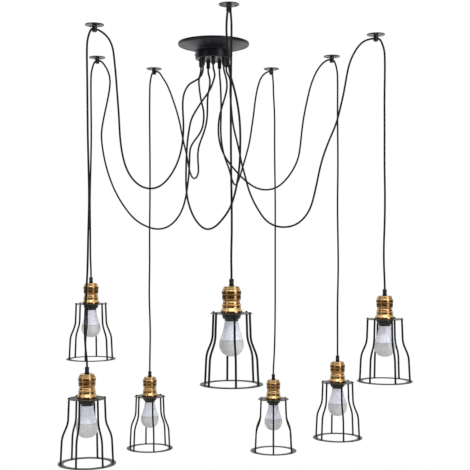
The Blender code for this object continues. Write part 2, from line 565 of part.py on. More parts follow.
def wire_cage_mesh(material):
    """The wires run from a disc round the socket down to a flat ring, with the first one towards -Y."""
    hole = (SOCKET_RADIUS + FIT) / math.cos(math.pi / DISC_SIDES)
    profile = [(DISC_RADIUS, DISC_TOP), (DISC_RADIUS, DISC_BOTTOM), (hole, DISC_BOTTOM), (hole, DISC_TOP)]
    cage = turned("wire_cage", profile, DISC_SIDES)
    inside = CAGE_RADIUS - BASE_RING_WIDTH
    profile = [(CAGE_RADIUS, BASE_RING_TOP), (CAGE_RADIUS, BASE_RING_BOTTOM), (inside, BASE_RING_BOTTOM),
               (inside, BASE_RING_TOP)]
    combine(cage, turned("base_ring", profile, BASE_RING_SIDES), 'UNION')
    top_radius = DISC_RADIUS - DISC_EDGE
    foot_radius = CAGE_RADIUS - BASE_RING_WIDTH / 2
    path = [(top_radius, DISC_TOP + WIRE_HEAD)]
    for across, down in WIRE_SHARES:
        path.append((top_radius + (foot_radius - top_radius) * across, DISC_BOTTOM - CAGE_HEIGHT * down))
    path.append((foot_radius, (BASE_RING_TOP + BASE_RING_BOTTOM) / 2))
    for n in range(CAGE_WIRES):
        points = [on_bearing(radius, 360 * n / CAGE_WIRES - 90, height) for radius, height in path]
        wire = finished_mesh(tube(f"wire_{n + 1}", points, WIRE_RADIUS, 1, material), material)
        combine(cage, add_object(f"cage_wire_{n + 1}", wire), 'UNION')
    return finished_mesh(cage, material)


def swag_points(n):
    """The cord's route from the tip of its grip under the canopy to the middle of its hook's bore."""
    start = grip_place(n, GRIP_TIP - FIT)
    inward = on_bearing(-1.0, BORE_BEARINGS[n], 0.0)
    route = [start, start - Vector((0.0, 0.0, CORD_LEAD)), *SWAG_ROUTES[n]]
    route += [bore_place(n) + inward * distance for distance in (BOSS_RADIUS, BOSS_RADIUS / 2, FIT)]
    return smooth_curve(route)


def drop_points(n):
    """The cord's route from the middle of its hook's bore, over and down to the top of the lamp's grip."""
    outward = on_bearing(1.0, BORE_BEARINGS[n], 0.0)
    route = [bore_place(n) + outward * distance for distance in (FIT, BOSS_RADIUS / 2)]
    route.append(bore_place(n) + outward * BOSS_RADIUS - Vector((0.0, 0.0, CORD_PLAY / 2)))
    for across, down in CORD_OVER_SHARES:
        fall = Vector((0.0, 0.0, CORD_FALL_REACH * down))
        route.append(bore_place(n) + outward * (BOSS_RADIUS + CORD_SIDE_REACH * across) - fall)
    lead = Vector((0.0, 0.0, CORD_LEAD))
    end = lamp_place(n) + Vector((0.0, 0.0, FIT))
    route += [*DROP_ROUTES[n], end + lead, end]
    return smooth_curve(route)


def make_swag_cords(material):
    for n in PENDANTS:
        tube(f"swag_cord_{n + 1}", swag_points(n), CORD_RADIUS, 2, material)


def make_pendants(cord, pieces):
    """Each pendant swings about its hook's bore, so its pieces hang on an empty there."""
    for n in PENDANTS:
        pivot = add_object(f"pendant_{n + 1}_pivot", None)
        pivot.location = bore_place(n)
        drop = tube(f"drop_cord_{n + 1}", drop_points(n), CORD_RADIUS, 2, cord)
        drop.location = -pivot.location
        drop.parent = pivot
        for name, mesh in pieces.items():
            piece = add_object(f"{name}_{n + 1}", mesh)
            piece.location = lamp_place(n) - pivot.location
            piece.rotation_euler.z = math.radians(CAGE_TURNS[n]) if name == "wire_cage" else 0.0
            piece.parent = pivot


def build():
    clear_scene()
    canopy = finish("canopy_black", (0.016, 0.018, 0.026), 0.32, 0.7)
    zinc = finish("zinc_plate", (0.55, 0.56, 0.58), 0.35, 1.0)
    nylon = finish("black_nylon", (0.012, 0.012, 0.013), 0.45, 0.0)
    hook_black = finish("hook_black", (0.030, 0.031, 0.033), 0.38, 0.6)
    cord = finish("cord_black", (0.014, 0.014, 0.016), 0.55, 0.0)
    brass = finish("antique_brass", (0.47, 0.24, 0.085), 0.25, 1.0)
    phenolic = finish("socket_black", (0.010, 0.010, 0.010), 0.35, 0.0)
    lamp = finish("lamp_white", (0.62, 0.62, 0.68), 0.3, 0.0)
    wire = finish("wire_black", (0.020, 0.020, 0.021), 0.4, 0.5)
    make_canopy_plate(canopy)
    make_canopy_cup(canopy)
    make_bracket(zinc)
    make_canopy_grips(nylon)
    make_hooks(hook_black)
    make_swag_cords(cord)
    make_pendants(cord, {
        "lamp_cord_grip": lamp_grip_mesh(nylon),
        "lamp_holder": lamp_holder_mesh(brass),
        "lamp_socket": lamp_socket_mesh(phenolic),
        "bulb": bulb_mesh(lamp),
        "wire_cage": wire_cage_mesh(wire)})


build()
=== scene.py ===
# %% [markdown]
# # A spider pendant light
#
# Seven lamps in wire cages hang from one round canopy. Each cord leaves the canopy, swags down and up
# again to a hook in the ceiling, and then drops straight to its lamp.
#
# The simple solids of the light already exist as a frame: they have the right places, sizes and joints,
# but few faces and flat colours. This lesson puts a finely made piece over each of them. Everything is
# in metres, +Z is up, the ceiling is the plane z = 0 and the canopy's middle is the origin.

# %% Load the frame
import math

import bmesh
import bpy
import numpy as np
from mathutils import Matrix, Vector


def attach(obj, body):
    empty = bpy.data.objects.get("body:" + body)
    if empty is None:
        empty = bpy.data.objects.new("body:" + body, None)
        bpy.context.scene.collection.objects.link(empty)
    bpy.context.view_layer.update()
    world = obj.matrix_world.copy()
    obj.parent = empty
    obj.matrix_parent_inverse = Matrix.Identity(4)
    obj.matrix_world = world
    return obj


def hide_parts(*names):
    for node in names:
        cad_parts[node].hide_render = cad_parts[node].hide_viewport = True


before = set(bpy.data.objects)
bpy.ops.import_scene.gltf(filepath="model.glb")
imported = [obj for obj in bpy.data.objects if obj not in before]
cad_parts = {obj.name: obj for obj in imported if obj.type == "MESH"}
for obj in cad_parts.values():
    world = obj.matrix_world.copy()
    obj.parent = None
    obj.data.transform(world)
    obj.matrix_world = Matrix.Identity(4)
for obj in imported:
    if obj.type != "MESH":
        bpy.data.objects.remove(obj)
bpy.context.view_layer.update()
MM = 0.001
LAMPS = range(1, 8)

# %% [markdown]
# ## The camera
#
# The light was photographed from some way off with a long lens, level with the middle of the cords. A
# camera that looks straight along +Y keeps every cord upright. The picture's middle is a little above
# the camera's own height, and a small vertical shift does that without tilting the camera, so the
# cords don't lean together.

# %% Camera
def show(thing):
    """Link an object into the scene."""
    bpy.context.scene.collection.objects.link(thing)


lens = bpy.data.cameras.new("camera")
lens.lens = 75
lens.sensor_width = 36
lens.shift_y = 0.0319
camera = bpy.data.objects.new("camera", lens)
camera.location = (0.062, -2.838, -0.600)
camera.rotation_euler = (math.radians(90), 0, 0)
show(camera)
bpy.context.scene.camera = camera
print("camera stands", round(-camera.location.y, 2), "m in front of the canopy")

# %% [markdown]
# ## Cord routes
#
# A cord is a fixed length of something limp. Its shape is a route: a list of points that a smooth curve
# passes through. A natural cubic spline through the points bends as little as it can, which is also what
# a cord does. The first list holds the swags between the canopy and the hooks. The second holds the drops
# from the hooks to the lamps. A drop hangs like a plumb line and strays only sideways, so its depth comes
# first, and then its points across and up. All of them are in millimetres.

# %% Routes of the swags and the drops
SWAG_ROUTES = (
    [(-31, -24, -88), (-37, -29, -102), (-50, -38, -115), (-66, -51, -127), (-77, -59, -143),
     (-84, -64, -164), (-86, -66, -189), (-85, -65, -220), (-84, -64, -254), (-86, -65, -288),
     (-91, -69, -320), (-100, -76, -352), (-114, -86, -382), (-131, -99, -407), (-151, -114, -424),
     (-173, -130, -430), (-195, -146, -425), (-215, -161, -409), (-232, -174, -381), (-243, -182, -342),
     (-249, -186, -297), (-252, -188, -243), (-256, -192, -181), (-260, -195, -125), (-264, -197, -82),
     (-269, -201, -51), (-280, -210, -29), (-294, -219, -17)],
    [(-42, 10, -100), (-41, 10, -135), (-36, 9, -167), (-30, 8, -193), (-29, 9, -219), (-33, 12, -243),
     (-44, 17, -265), (-58, 24, -283), (-68, 29, -301), (-71, 33, -324), (-72, 35, -353), (-74, 38, -383),
     (-78, 42, -415), (-84, 48, -448), (-94, 56, -480), (-112, 69, -509), (-138, 85, -530),
     (-169, 103, -537), (-204, 122, -529), (-239, 139, -509), (-271, 155, -475), (-299, 170, -433),
     (-322, 182, -384), (-339, 191, -331), (-349, 197, -281), (-352, 199, -240), (-346, 197, -197),
     (-336, 191, -154), (-327, 186, -112), (-324, 184, -75), (-331, 188, -47), (-344, 195, -25)],
    [(-13, 32, -94), (-12, 33, -116), (-17, 38, -142), (-19, 41, -174), (-20, 44, -208), (-26, 53, -240),
     (-37, 67, -269), (-47, 80, -299), (-49, 88, -325), (-48, 96, -348), (-49, 112, -368), (-60, 143, -382),
     (-72, 172, -372), (-81, 195, -343), (-88, 213, -307), (-97, 232, -271), (-105, 243, -235),
     (-113, 252, -196), (-125, 266, -153), (-140, 285, -109), (-157, 310, -68), (-175, 340, -37)],
    [(18, 36, -98), (20, 39, -130), (21, 41, -165), (21, 44, -200), (20, 46, -235), (21, 51, -267),
     (25, 61, -298), (33, 76, -328), (43, 95, -354), (50, 115, -378), (57, 137, -396), (64, 161, -400),
     (72, 184, -387), (81, 207, -359), (91, 230, -324), (101, 253, -287), (109, 268, -251),
     (115, 278, -212), (121, 287, -169), (126, 294, -128), (133, 302, -87), (143, 318, -52),
     (156, 345, -29)],
    [(33, -24, -93), (38, -22, -114), (38, -20, -138), (32, -17, -163), (24, -13, -189), (17, -8, -216),
     (14, -2, -244), (15, 4, -272), (21, 11, -300), (32, 19, -326), (49, 29, -350), (71, 41, -375),
     (99, 56, -400), (127, 72, -416), (158, 88, -420), (188, 103, -411), (216, 119, -387), (238, 132, -356),
     (254, 143, -320), (261, 149, -283), (266, 153, -239), (273, 156, -190), (283, 158, -141),
     (295, 162, -94), (310, 167, -57), (327, 174, -31)],
    [(46, 6, -100), (48, 3, -136), (50, -1, -171), (53, -5, -209), (58, -10, -245), (66, -15, -280),
     (74, -21, -315), (81, -27, -350), (90, -33, -385), (100, -39, -423), (114, -44, -459),
     (131, -50, -490), (153, -56, -518), (178, -61, -532), (205, -67, -535), (231, -73, -529),
     (255, -79, -511), (273, -84, -483), (284, -87, -447), (293, -89, -406), (302, -91, -364),
     (314, -93, -324), (330, -95, -283), (345, -96, -246), (356, -98, -205), (366, -98, -161),
     (374, -99, -116), (384, -99, -74), (400, -102, -41), (422, -107, -18)],
    [(4, -39, -97), (0, -40, -117), (-8, -42, -139), (-21, -45, -160), (-35, -50, -181), (-49, -56, -204),
     (-61, -64, -229), (-67, -73, -257), (-71, -83, -288), (-73, -94, -320), (-74, -106, -354),
     (-74, -119, -389), (-73, -133, -423), (-68, -150, -460), (-57, -170, -495), (-39, -195, -526),
     (-15, -224, -544), (8, -254, -539), (29, -284, -520), (48, -312, -493), (60, -336, -462),
     (68, -357, -426), (73, -375, -389), (75, -390, -347), (75, -404, -307), (72, -412, -265),
     (66, -418, -228), (58, -422, -195), (50, -424, -165), (46, -425, -132), (43, -425, -95),
     (41, -425, -58), (42, -430, -30)])
DROP_ROUTES = (
    (-250, [(-329, -125), (-328, -210), (-327, -300), (-325, -390), (-324, -475), (-326, -560),
            (-328, -650), (-332, -730), (-335, -810), (-332, -870)]),
    (221, [(-388, -120), (-387, -245), (-389, -350), (-391, -450), (-390, -550), (-389, -640)]),
    (419, [(-222, -135), (-221, -280), (-221, -445), (-222, -550), (-222, -650), (-223, -755), (-220, -875),
           (-221, -950)]),
    (425, [(193, -130), (194, -240), (195, -350), (196, -435), (196, -550), (196, -665), (196, -755),
           (195, -870), (192, -960)]),
    (208, [(381, -160), (382, -290), (382, -355), (381, -450), (382, -550), (383, -660), (381, -770),
           (381, -870)]),
    (-121, [(477, -160), (477, -275), (477, -370), (478, -440), (477, -530), (475, -600), (476, -660)]),
    (-473, [(53, -130), (52, -205), (52, -325), (53, -430), (54, -500), (54, -565), (53, -620)]))
print("route points", [len(route) for route in SWAG_ROUTES], [len(falls) for depth, falls in DROP_ROUTES])

# %% [markdown]
# The ends of each route follow from the pieces that hold the cord. It starts inside its grip under the
# canopy, goes through the bore in its hook and ends inside the grip on top of its lamp. So the places of
# the hooks, of the bores and of the lamps are worked out first, from the same numbers as the frame's.
# GRIP_SEATS says at which of the cup's seven seats each cord starts. Past its bore a drop bends over and
# falls, and OVER_SHARES lists points of that bend, as shares of its reach to the side and down.

# %% Places of the hooks, grips and lamps
SPREAD = 0.468
HOOK_DISTANCE_SHARES = (0.832, 0.902, 0.961, 0.943, 0.876, 1.0, 0.965)
HOOK_BEARINGS = (216.8, 150.3, 117.2, 65.6, 28.1, 345.8, 276.0)
BORE_BEARINGS = (225, 150, 130, 72, 38, 346, 285)
DROPS = [1.0135 * share for share in (0.8967, 0.6759, 0.990, 1.0, 0.916, 0.6992, 0.6606)]
GRIP_SEATS = (6, 5, 4, 3, 1, 2, 0)
CAGE_TURNS = (44.5, -6, 16, -2, 9.5, 16, 9)
CORD_RADIUS = 2.7 * MM
BOSS_RADIUS = 6.8 * MM
BORE_HEIGHT = -12 * MM
BORE_PLAY = 0.45 * MM
CORD_GAP = 0.3 * MM
SIDE_REACH = 17.7 * MM
FALL_REACH = 51 * MM
OVER_SHARES = ((0.220, 0.057), (0.367, 0.122), (0.605, 0.298), (0.814, 0.516), (0.960, 0.773), (1.0, 1.0))
GRIP_CIRCLE = 38 * MM
GRIP_TIP = -69 * MM
CORD_LEAD = 10 * MM
CORD_INSET = 2 * MM


def on_bearing(distance, degrees, height):
    angle = math.radians(degrees)
    return Vector((distance * math.cos(angle), distance * math.sin(angle), height))


def up(height):
    return Vector((0, 0, height))


def hook_place(n):
    return on_bearing(SPREAD * HOOK_DISTANCE_SHARES[n - 1], HOOK_BEARINGS[n - 1], 0)


def bore_place(n):
    return hook_place(n) + up(BORE_HEIGHT)


def way_out(n):
    return on_bearing(1, BORE_BEARINGS[n - 1], 0)


def grip_place(n):
    return on_bearing(GRIP_CIRCLE, GRIP_SEATS[n - 1] * 360 / 7 - 90, 0)


def lamp_place(n):
    place = hook_place(n) + way_out(n) * (BOSS_RADIUS + SIDE_REACH)
    place.z = -DROPS[n - 1]
    return place


for n in LAMPS:
    print("lamp", n, "hangs", round(DROPS[n - 1], 3), "m under the ceiling at", lamp_place(n).to_tuple(3))


# %% [markdown]
# ## From a route to a cord
#
# The spline is solved once for all three axes with numpy, then read at even steps. Even steps matter:
# the tube's texture map runs from point to point, so points at even distances give a texture that doesn't
# stretch.

# %% Smooth, evenly spaced points through a route
CORD_STEP = 4 * MM
FINE_POINTS = 60


def smooth_curve(route):
    points = np.array([tuple(point) for point in route])
    spans = np.linalg.norm(np.diff(points, axis=0), axis=1)
    along = np.concatenate(([0.0], np.cumsum(spans)))
    count = len(points)
    matrix = np.eye(count)
    right = np.zeros((count, 3))
    for i in range(1, count - 1):
        matrix[i, i - 1:i + 2] = spans[i - 1], 2 * (spans[i - 1] + spans[i]), spans[i]
        right[i] = 6 * ((points[i + 1] - points[i]) / spans[i] - (points[i] - points[i - 1]) / spans[i - 1])
    bend = np.linalg.solve(matrix, right)
    fine = np.linspace(0.0, along[-1], FINE_POINTS * count)
    span = np.clip(np.searchsorted(along, fine) - 1, 0, count - 2)
    width = spans[span][:, None]
    ahead = (along[span + 1] - fine)[:, None]
    behind = (fine - along[span])[:, None]
    curve = (bend[span] * ahead ** 3 + bend[span + 1] * behind ** 3) / (6 * width)
    curve += (points[span] / width - bend[span] * width / 6) * ahead
    curve += (points[span + 1] / width - bend[span + 1] * width / 6) * behind
    run = np.concatenate(([0.0], np.cumsum(np.linalg.norm(np.diff(curve, axis=0), axis=1))))
    marks = np.linspace(0.0, run[-1], round(run[-1] / CORD_STEP) + 1)
    even = [Vector([np.interp(mark, run, curve[:, axis]) for axis in range(3)]) for mark in marks]
    return even, float(run[-1])


def in_metres(points):
    return [tuple(value * MM for value in point) for point in points]


def swag_route(n):
    start = grip_place(n) + up(GRIP_TIP + CORD_INSET)
    inward = -way_out(n)
    route = [start, start - up(CORD_INSET + CORD_LEAD), *in_metres(SWAG_ROUTES[n - 1])]
    return route + [bore_place(n) + inward * away for away in (BOSS_RADIUS, BOSS_RADIUS / 2, CORD_GAP)]


def drop_route(n):
    route = [bore_place(n) + way_out(n) * away for away in (CORD_GAP, BOSS_RADIUS / 2)]
    route.append(bore_place(n) + way_out(n) * BOSS_RADIUS - up(BORE_PLAY))
    for across, down in OVER_SHARES:
        over = way_out(n) * (BOSS_RADIUS + SIDE_REACH * across)
        route.append(bore_place(n) + over - up(FALL_REACH * down))
    depth, falls = DROP_ROUTES[n - 1]
    route += in_metres((across, depth, height) for across, height in falls)
    end = lamp_place(n) - up(CORD_INSET)
    return route + [end + up(CORD_LEAD + CORD_INSET), end]


print("swag 1 goes through", len(swag_route(1)), "points and drop 1 through", len(drop_route(1)))


# %% [markdown]
# A curve with a bevel depth is the quickest tube in Blender, and it comes with a texture map: one way
# runs along the curve and the other round it. The curve is turned into a mesh, and the map's first way
# is stretched to real metres, so that one texture fits cords of any length.

# %% Build a tube along a curve
def smoothed(mesh, sharp):
    """The mesh, shaded smooth but for edges sharper than an angle in degrees."""
    mesh.shade_smooth()
    mesh.set_sharp_from_angle(angle=math.radians(sharp))
    return mesh


def tube_mesh(name, points, radius, resolution, length):
    data = bpy.data.curves.new(name, 'CURVE')
    data.dimensions = '3D'
    spline = data.splines.new('POLY')
    spline.points.add(len(points) - 1)
    for place, point in zip(spline.points, points):
        place.co = (*point, 1)
    data.bevel_depth = radius
    data.bevel_resolution = resolution
    data.use_fill_caps = True
    curve = bpy.data.objects.new(name, data)
    show(curve)
    bpy.context.view_layer.update()
    mesh = bpy.data.meshes.new_from_object(curve.evaluated_get(bpy.context.evaluated_depsgraph_get()))
    bpy.data.objects.remove(curve, do_unlink=True)
    layer = mesh.uv_layers[0]
    layer.name = "turning"
    for corner in layer.data:
        corner.uv = (corner.uv[0] * length, corner.uv[1])
    shape = bmesh.new()
    shape.from_mesh(mesh)
    bmesh.ops.remove_doubles(shape, verts=shape.verts, dist=0.01 * MM)
    bmesh.ops.recalc_face_normals(shape, faces=shape.faces)
    shape.to_mesh(mesh)
    shape.free()
    return smoothed(mesh, 50)


# %% [markdown]
# Each cord is laid in two lengths that meet inside its hook's bore. The swag stays with the ceiling, and
# the drop swings with its lamp.

# %% Lay the fourteen lengths of cord
light_pieces = bpy.data.collections.new("light")
bpy.context.scene.collection.children.link(light_pieces)
cords = []


def lay_cord(name, route, body):
    points, length = smooth_curve(route)
    piece = bpy.data.objects.new(name + "_flex", tube_mesh(name, points, CORD_RADIUS, 4, length))
    light_pieces.objects.link(piece)
    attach(piece, body)
    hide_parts(name)
    cords.append(piece)
    return length


for n in LAMPS:
    swag = lay_cord(f"swag_cord_{n}", swag_route(n), "canopy_and_hooks")
    drop = lay_cord(f"drop_cord_{n}", drop_route(n), f"pendant_{n}")
    print("cord", n, "swag", round(swag, 3), "m, drop", round(drop, 3), "m")

# %% [markdown]
# ## Light, floor and background
#
# A product like this is shot against white. The background is the world, which is plain white to the
# camera. What glossy metal sees is another matter: brass only looks like brass when it has something
# dark to reflect beside something bright. So for reflections the lower part of the backdrop is lit, the
# part level with the lamps is flagged off with black, and the room on the photographer's side is dim.
# Two tall soft boxes stand left and right in front, and a wide one hangs above. The floor is far below,
# as under a real ceiling.

# %% Node helpers
def feed(tree, socket, value):
    """Link a socket to a value that is a socket itself, or set it to any other value."""
    if isinstance(value, bpy.types.NodeSocket):
        tree.links.new(value, socket)
    else:
        socket.default_value = value


def add(tree, kind, options=None, **values):
    """Add a shader node, with its options set and its inputs fed by name."""
    made = tree.nodes.new("ShaderNode" + kind)
    for option, value in (options or {}).items():
        setattr(made, option, value)
    for name, value in values.items():
        feed(tree, made.inputs[name.replace("_", " ")], value)
    return made


def maths(tree, operation, *values, clamp=False):
    """A Math node's result, from numbers or sockets."""
    made = add(tree, "Math", {"operation": operation, "use_clamp": clamp})
    for socket, value in zip(made.inputs, values):
        feed(tree, socket, value)
    return made.outputs[0]


def ramp(tree, value, start, end, low=0.0, high=1.0, smooth=False):
    """A Map Range node's result, which goes from low to high as the value goes from start to end."""
    made = add(tree, "MapRange", Value=value, From_Min=start, From_Max=end, To_Min=low, To_Max=high)
    if smooth:
        made.interpolation_type = 'SMOOTHSTEP'
    return made.outputs["Result"]


def blend(tree, factor, first, second):
    """A Mix node's result, from numbers or sockets."""
    return add(tree, "Mix", {"data_type": 'FLOAT'}, Factor=factor, A=first, B=second).outputs["Result"]


def blend_colours(tree, factor, first, second, way='MIX'):
    """A Mix node's colour. Its colour inputs are numbers 6 and 7, and its colour output is number 2."""
    made = add(tree, "Mix", {"data_type": 'RGBA', "blend_type": way}, Factor=factor)
    feed(tree, made.inputs[6], first)
    feed(tree, made.inputs[7], second)
    return made.outputs[2]


def kinds_of_ray(tree):
    """Whether a ray comes from the camera, and whether it was mirrored or let through."""
    rays = add(tree, "LightPath").outputs
    return rays["Is Camera Ray"], maths(tree, 'MAXIMUM', rays["Is Glossy Ray"], rays["Is Transmission Ray"])


def object_place(tree):
    """Object coordinates, which stay with the piece when it moves."""
    return add(tree, "TexCoord").outputs["Object"]


def new_material(name):
    """A new material, its node tree and its shader's inputs."""
    material = bpy.data.materials.new(name)
    material.use_nodes = True
    return material, material.node_tree, material.node_tree.nodes["Principled BSDF"].inputs


# %% World
world = bpy.data.worlds.new("studio")
world.use_nodes = True
bpy.context.scene.world = world
sky = world.node_tree
sky.nodes.clear()
camera_ray, mirror = kinds_of_ray(sky)
split = add(sky, "SeparateXYZ", Vector=add(sky, "TexCoord").outputs["Generated"]).outputs
lit_below = ramp(sky, split["Z"], -0.14, -0.075, 1.0, 0.07, smooth=True)
lit_above = ramp(sky, split["Z"], 0.06, 0.12, 0.0, 0.93, smooth=True)
at_back = maths(sky, 'ADD', lit_below, lit_above)
backwards = ramp(sky, split["Y"], 0.1, 0.6, smooth=True)
in_front = ramp(sky, split["Z"], 0.38, 0.68, 0.08, 1.3, smooth=True)
mirrored = blend(sky, backwards, in_front, at_back)
fill = ramp(sky, split["Z"], -1.0, 1.0, 0.56, 1.0)
strength = blend(sky, camera_ray, blend(sky, mirror, fill, mirrored), 1.0)
glow = add(sky, "Background", Color=(1, 1, 1, 1), Strength=strength)
feed(sky, add(sky, "OutputWorld").inputs["Surface"], glow.outputs["Background"])
print("the world has", len(sky.nodes), "nodes")

# %% [markdown]
# Dark paint shows little but what it mirrors, so the boxes are placed for their reflections. The left one
# is narrow and weak, the right one and the top one are strong, and that gives the brass one bright side.


# %% Soft boxes
def soft_box(name, place, aim, width, height, power):
    data = bpy.data.lights.new(name, 'AREA')
    data.shape = 'RECTANGLE'
    data.size, data.size_y, data.energy = width, height, power
    box = bpy.data.objects.new(name, data)
    box.location = place
    box.rotation_euler = (Vector(aim) - Vector(place)).to_track_quat('-Z', 'Y').to_euler()
    show(box)
    print(name, "gives", power, "W")


middle = (0, 0, -0.7)
soft_box("left_box", (-2.5, -1.9, -0.4), middle, 0.7, 2.6, 6)
soft_box("right_box", (2.2, -2.2, -0.3), middle, 1.3, 2.6, 28)
soft_box("top_box", (0.4, -2.5, 1.8), middle, 3.2, 1.4, 28)

# %% [markdown]
# The floor is a pale grey sheet that keeps the light's shadow. Towards its edges it glows up to white for
# the camera and for reflections, so that it runs into the white background without a horizon.

# %% Floor
def as_mesh(shape, name):
    """The bmesh as a mesh. The bmesh is freed."""
    mesh = bpy.data.meshes.new(name)
    shape.to_mesh(mesh)
    shape.free()
    return mesh


FLOOR_HEIGHT = -2.6
FLOOR_REACH = 6
FADE_START = 3.4
room = bmesh.new()
bmesh.ops.create_grid(room, x_segments=1, y_segments=1, size=FLOOR_REACH)
bmesh.ops.translate(room, verts=room.verts, vec=(0, 0, FLOOR_HEIGHT))
floor_mesh = as_mesh(room, "floor")
floor = bpy.data.objects.new("floor", floor_mesh)
show(floor)
floor_paint, tree, shader = new_material("floor_paint")
shader["Roughness"].default_value = 0.85
grit = add(tree, "TexNoise", Vector=object_place(tree), Scale=3.0, Detail=3.0).outputs["Fac"]
feed(tree, shader["Base Color"], ramp(tree, grit, 0.0, 1.0, 0.76, 0.80))
lift = maths(tree, 'MAXIMUM', *kinds_of_ray(tree))
away = add(tree, "VectorMath", {"operation": 'LENGTH'}, Vector=object_place(tree)).outputs["Value"]
fade = ramp(tree, away, FADE_START, FLOOR_REACH, 0.05, 1.0, smooth=True)
shader["Emission Color"].default_value = (1, 1, 1, 1)
feed(tree, shader["Emission Strength"], maths(tree, 'MULTIPLY', lift, fade))
floor_mesh.materials.append(floor_paint)
print("the floor lies", -FLOOR_HEIGHT, "m under the ceiling")


# %% [markdown]
# ## Turned pieces
#
# Nearly everything rigid here was turned on a lathe, spun or moulded round: the canopy, the hooks, the
# grips, the brass holders, the sockets and the bulbs. Each is a profile, half a cross-section, swept
# round the Z axis. The profile is drawn with sharp corners, and each corner is then bevelled by its own
# radius, because real edges are never quite sharp and it is the small roundings that catch the light.
#
# Two numbers are stored on the profile before the sweep. One is the distance along it, which becomes a
# texture map. The other says how hollow the profile is there, so that a finish can darken the grooves.

# %% Sweep a profile
def ordered(shape, near=Vector()):
    """The profile's vertices in order, from its upper loose end, or from the one nearest to a point."""
    ends = [vert for vert in shape.verts if len(vert.link_edges) == 1]
    if ends:
        start = max(ends, key=lambda vert: vert.co.z)
    else:
        start = min(shape.verts, key=lambda vert: (vert.co - near).length)
    line, edge = [start], start.link_edges[0]
    while True:
        vert = edge.other_vert(line[-1])
        if vert is start:
            return line
        line.append(vert)
        following = [other for other in vert.link_edges if other is not edge]
        if not following:
            return line
        edge = following[0]


def turned(rows, steps=96, closed=True, segments=4):
    """Rows of radius, height and rounding in millimetres, down the outer side, swept into a bmesh.

    A closed profile makes a shell, and an open one ends on the axis."""
    shape = bmesh.new()
    corners = [shape.verts.new((row[0] * MM, 0, row[1] * MM)) for row in rows]
    for first, second in zip(corners, corners[1:]):
        shape.edges.new((first, second))
    if closed:
        shape.edges.new((corners[-1], corners[0]))
    for corner, row in zip(corners, rows):
        if len(row) > 2:
            bmesh.ops.bevel(shape, geom=[corner], offset=row[2] * MM, offset_type='OFFSET',
                            segments=segments, profile=0.5, affect='VERTICES', material=-1)
    along = shape.verts.layers.float.new("along")
    hollow = shape.verts.layers.float.new("hollow")
    first, second = (Vector((row[0] * MM, 0, row[1] * MM)) for row in rows[:2])
    line = ordered(shape, first)
    if line[0].co.z < line[-1].co.z and not closed:
        line.reverse()
    if closed and (line[-1].co - second).length < (line[1].co - second).length:
        line = [line[0]] + line[:0:-1]
    run = 0.0
    for i, vert in enumerate(line):
        before = line[i - 1].co if (i or closed) else vert.co
        after = line[(i + 1) % len(line)].co if (i + 1 < len(line) or closed) else vert.co
        into, out = vert.co - before, after - vert.co
        run += into.length if i else 0.0
        vert[along] = run
        if into.length and out.length:
            into.normalize()
            out.normalize()
            vert[hollow] = into.x * out.z - into.z * out.x
    bmesh.ops.spin(shape, geom=shape.verts[:] + shape.edges[:], cent=(0, 0, 0), axis=(0, 0, 1),
                   dvec=(0, 0, 0), angle=math.tau, steps=steps, use_merge=True)
    bmesh.ops.remove_doubles(shape, verts=shape.verts, dist=0.001 * MM)
    bmesh.ops.recalc_face_normals(shape, faces=shape.faces)
    widest = max(row[0] for row in rows) * MM
    layer = shape.loops.layers.uv.new("turning")
    for face in shape.faces:
        turns = [math.atan2(loop.vert.co.y, loop.vert.co.x) / math.tau % 1 for loop in face.loops]
        seam = max(turns) - min(turns) > 0.5
        for loop, turn in zip(face.loops, turns):
            turn += 1 if seam and turn < 0.5 else 0
            loop[layer].uv = (turn * math.tau * widest, loop.vert[along])
    return shape


def finished(shape, name, sharp=40):
    return smoothed(as_mesh(shape, name), sharp)


def shifted(rows, rise, stretch=1.0):
    """The rows with their heights stretched and then moved up."""
    return [(row[0], row[1] * stretch + rise, *row[2:]) for row in rows]


def band(low, high, radius):
    """A test that keeps the faces between two heights and outside a radius, in millimetres."""
    def keep(face):
        middle = face.calc_center_median()
        return low * MM < middle.z < high * MM and math.hypot(*middle.xy) > radius * MM
    return keep


def ribbed(shape, keep, inset, rise):
    """Sink or raise every other face that the test keeps, in their order round the axis.

    Height parts two faces at one angle, so that every run picks the same ones."""
    def round_the_axis(face):
        middle = face.calc_center_median()
        return math.atan2(middle.y, middle.x), middle.z

    faces = sorted(filter(keep, shape.faces), key=round_the_axis)
    bmesh.ops.inset_individual(shape, faces=faces[::2], thickness=inset * MM, depth=rise * MM)
    print("ribs:", len(faces[::2]))


# %% [markdown]
# ## Tools for placing and cutting
#
# The seven lamps are alike, so each shape is made once and set down seven times. A copy is moved into its
# place in the mesh itself, so that every object stays at the origin. Holes and slots are cut by Booleans,
# because they cross the turned shape at a right angle.

# %% Join, place and cut
def combined(*shapes):
    """One bmesh that holds several, which are freed."""
    whole = bmesh.new()
    for shape in shapes:
        part = as_mesh(shape, "part")
        whole.from_mesh(part)
        bpy.data.meshes.remove(part)
    return whole


def set_down(name, mesh, matrix, finish, body, slot, *nodes):
    """A copy of a mesh, moved into its place, as a piece of the light."""
    data = mesh.copy()
    data.transform(matrix)
    data.materials.clear()
    data.materials.append(finish)
    piece = bpy.data.objects.new(name, data)
    light_pieces.objects.link(piece)
    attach(piece, body)
    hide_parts(*nodes)
    return piece


def at(place, turn=0.0):
    return Matrix.Translation(place) @ Matrix.Rotation(math.radians(turn), 4, 'Z')


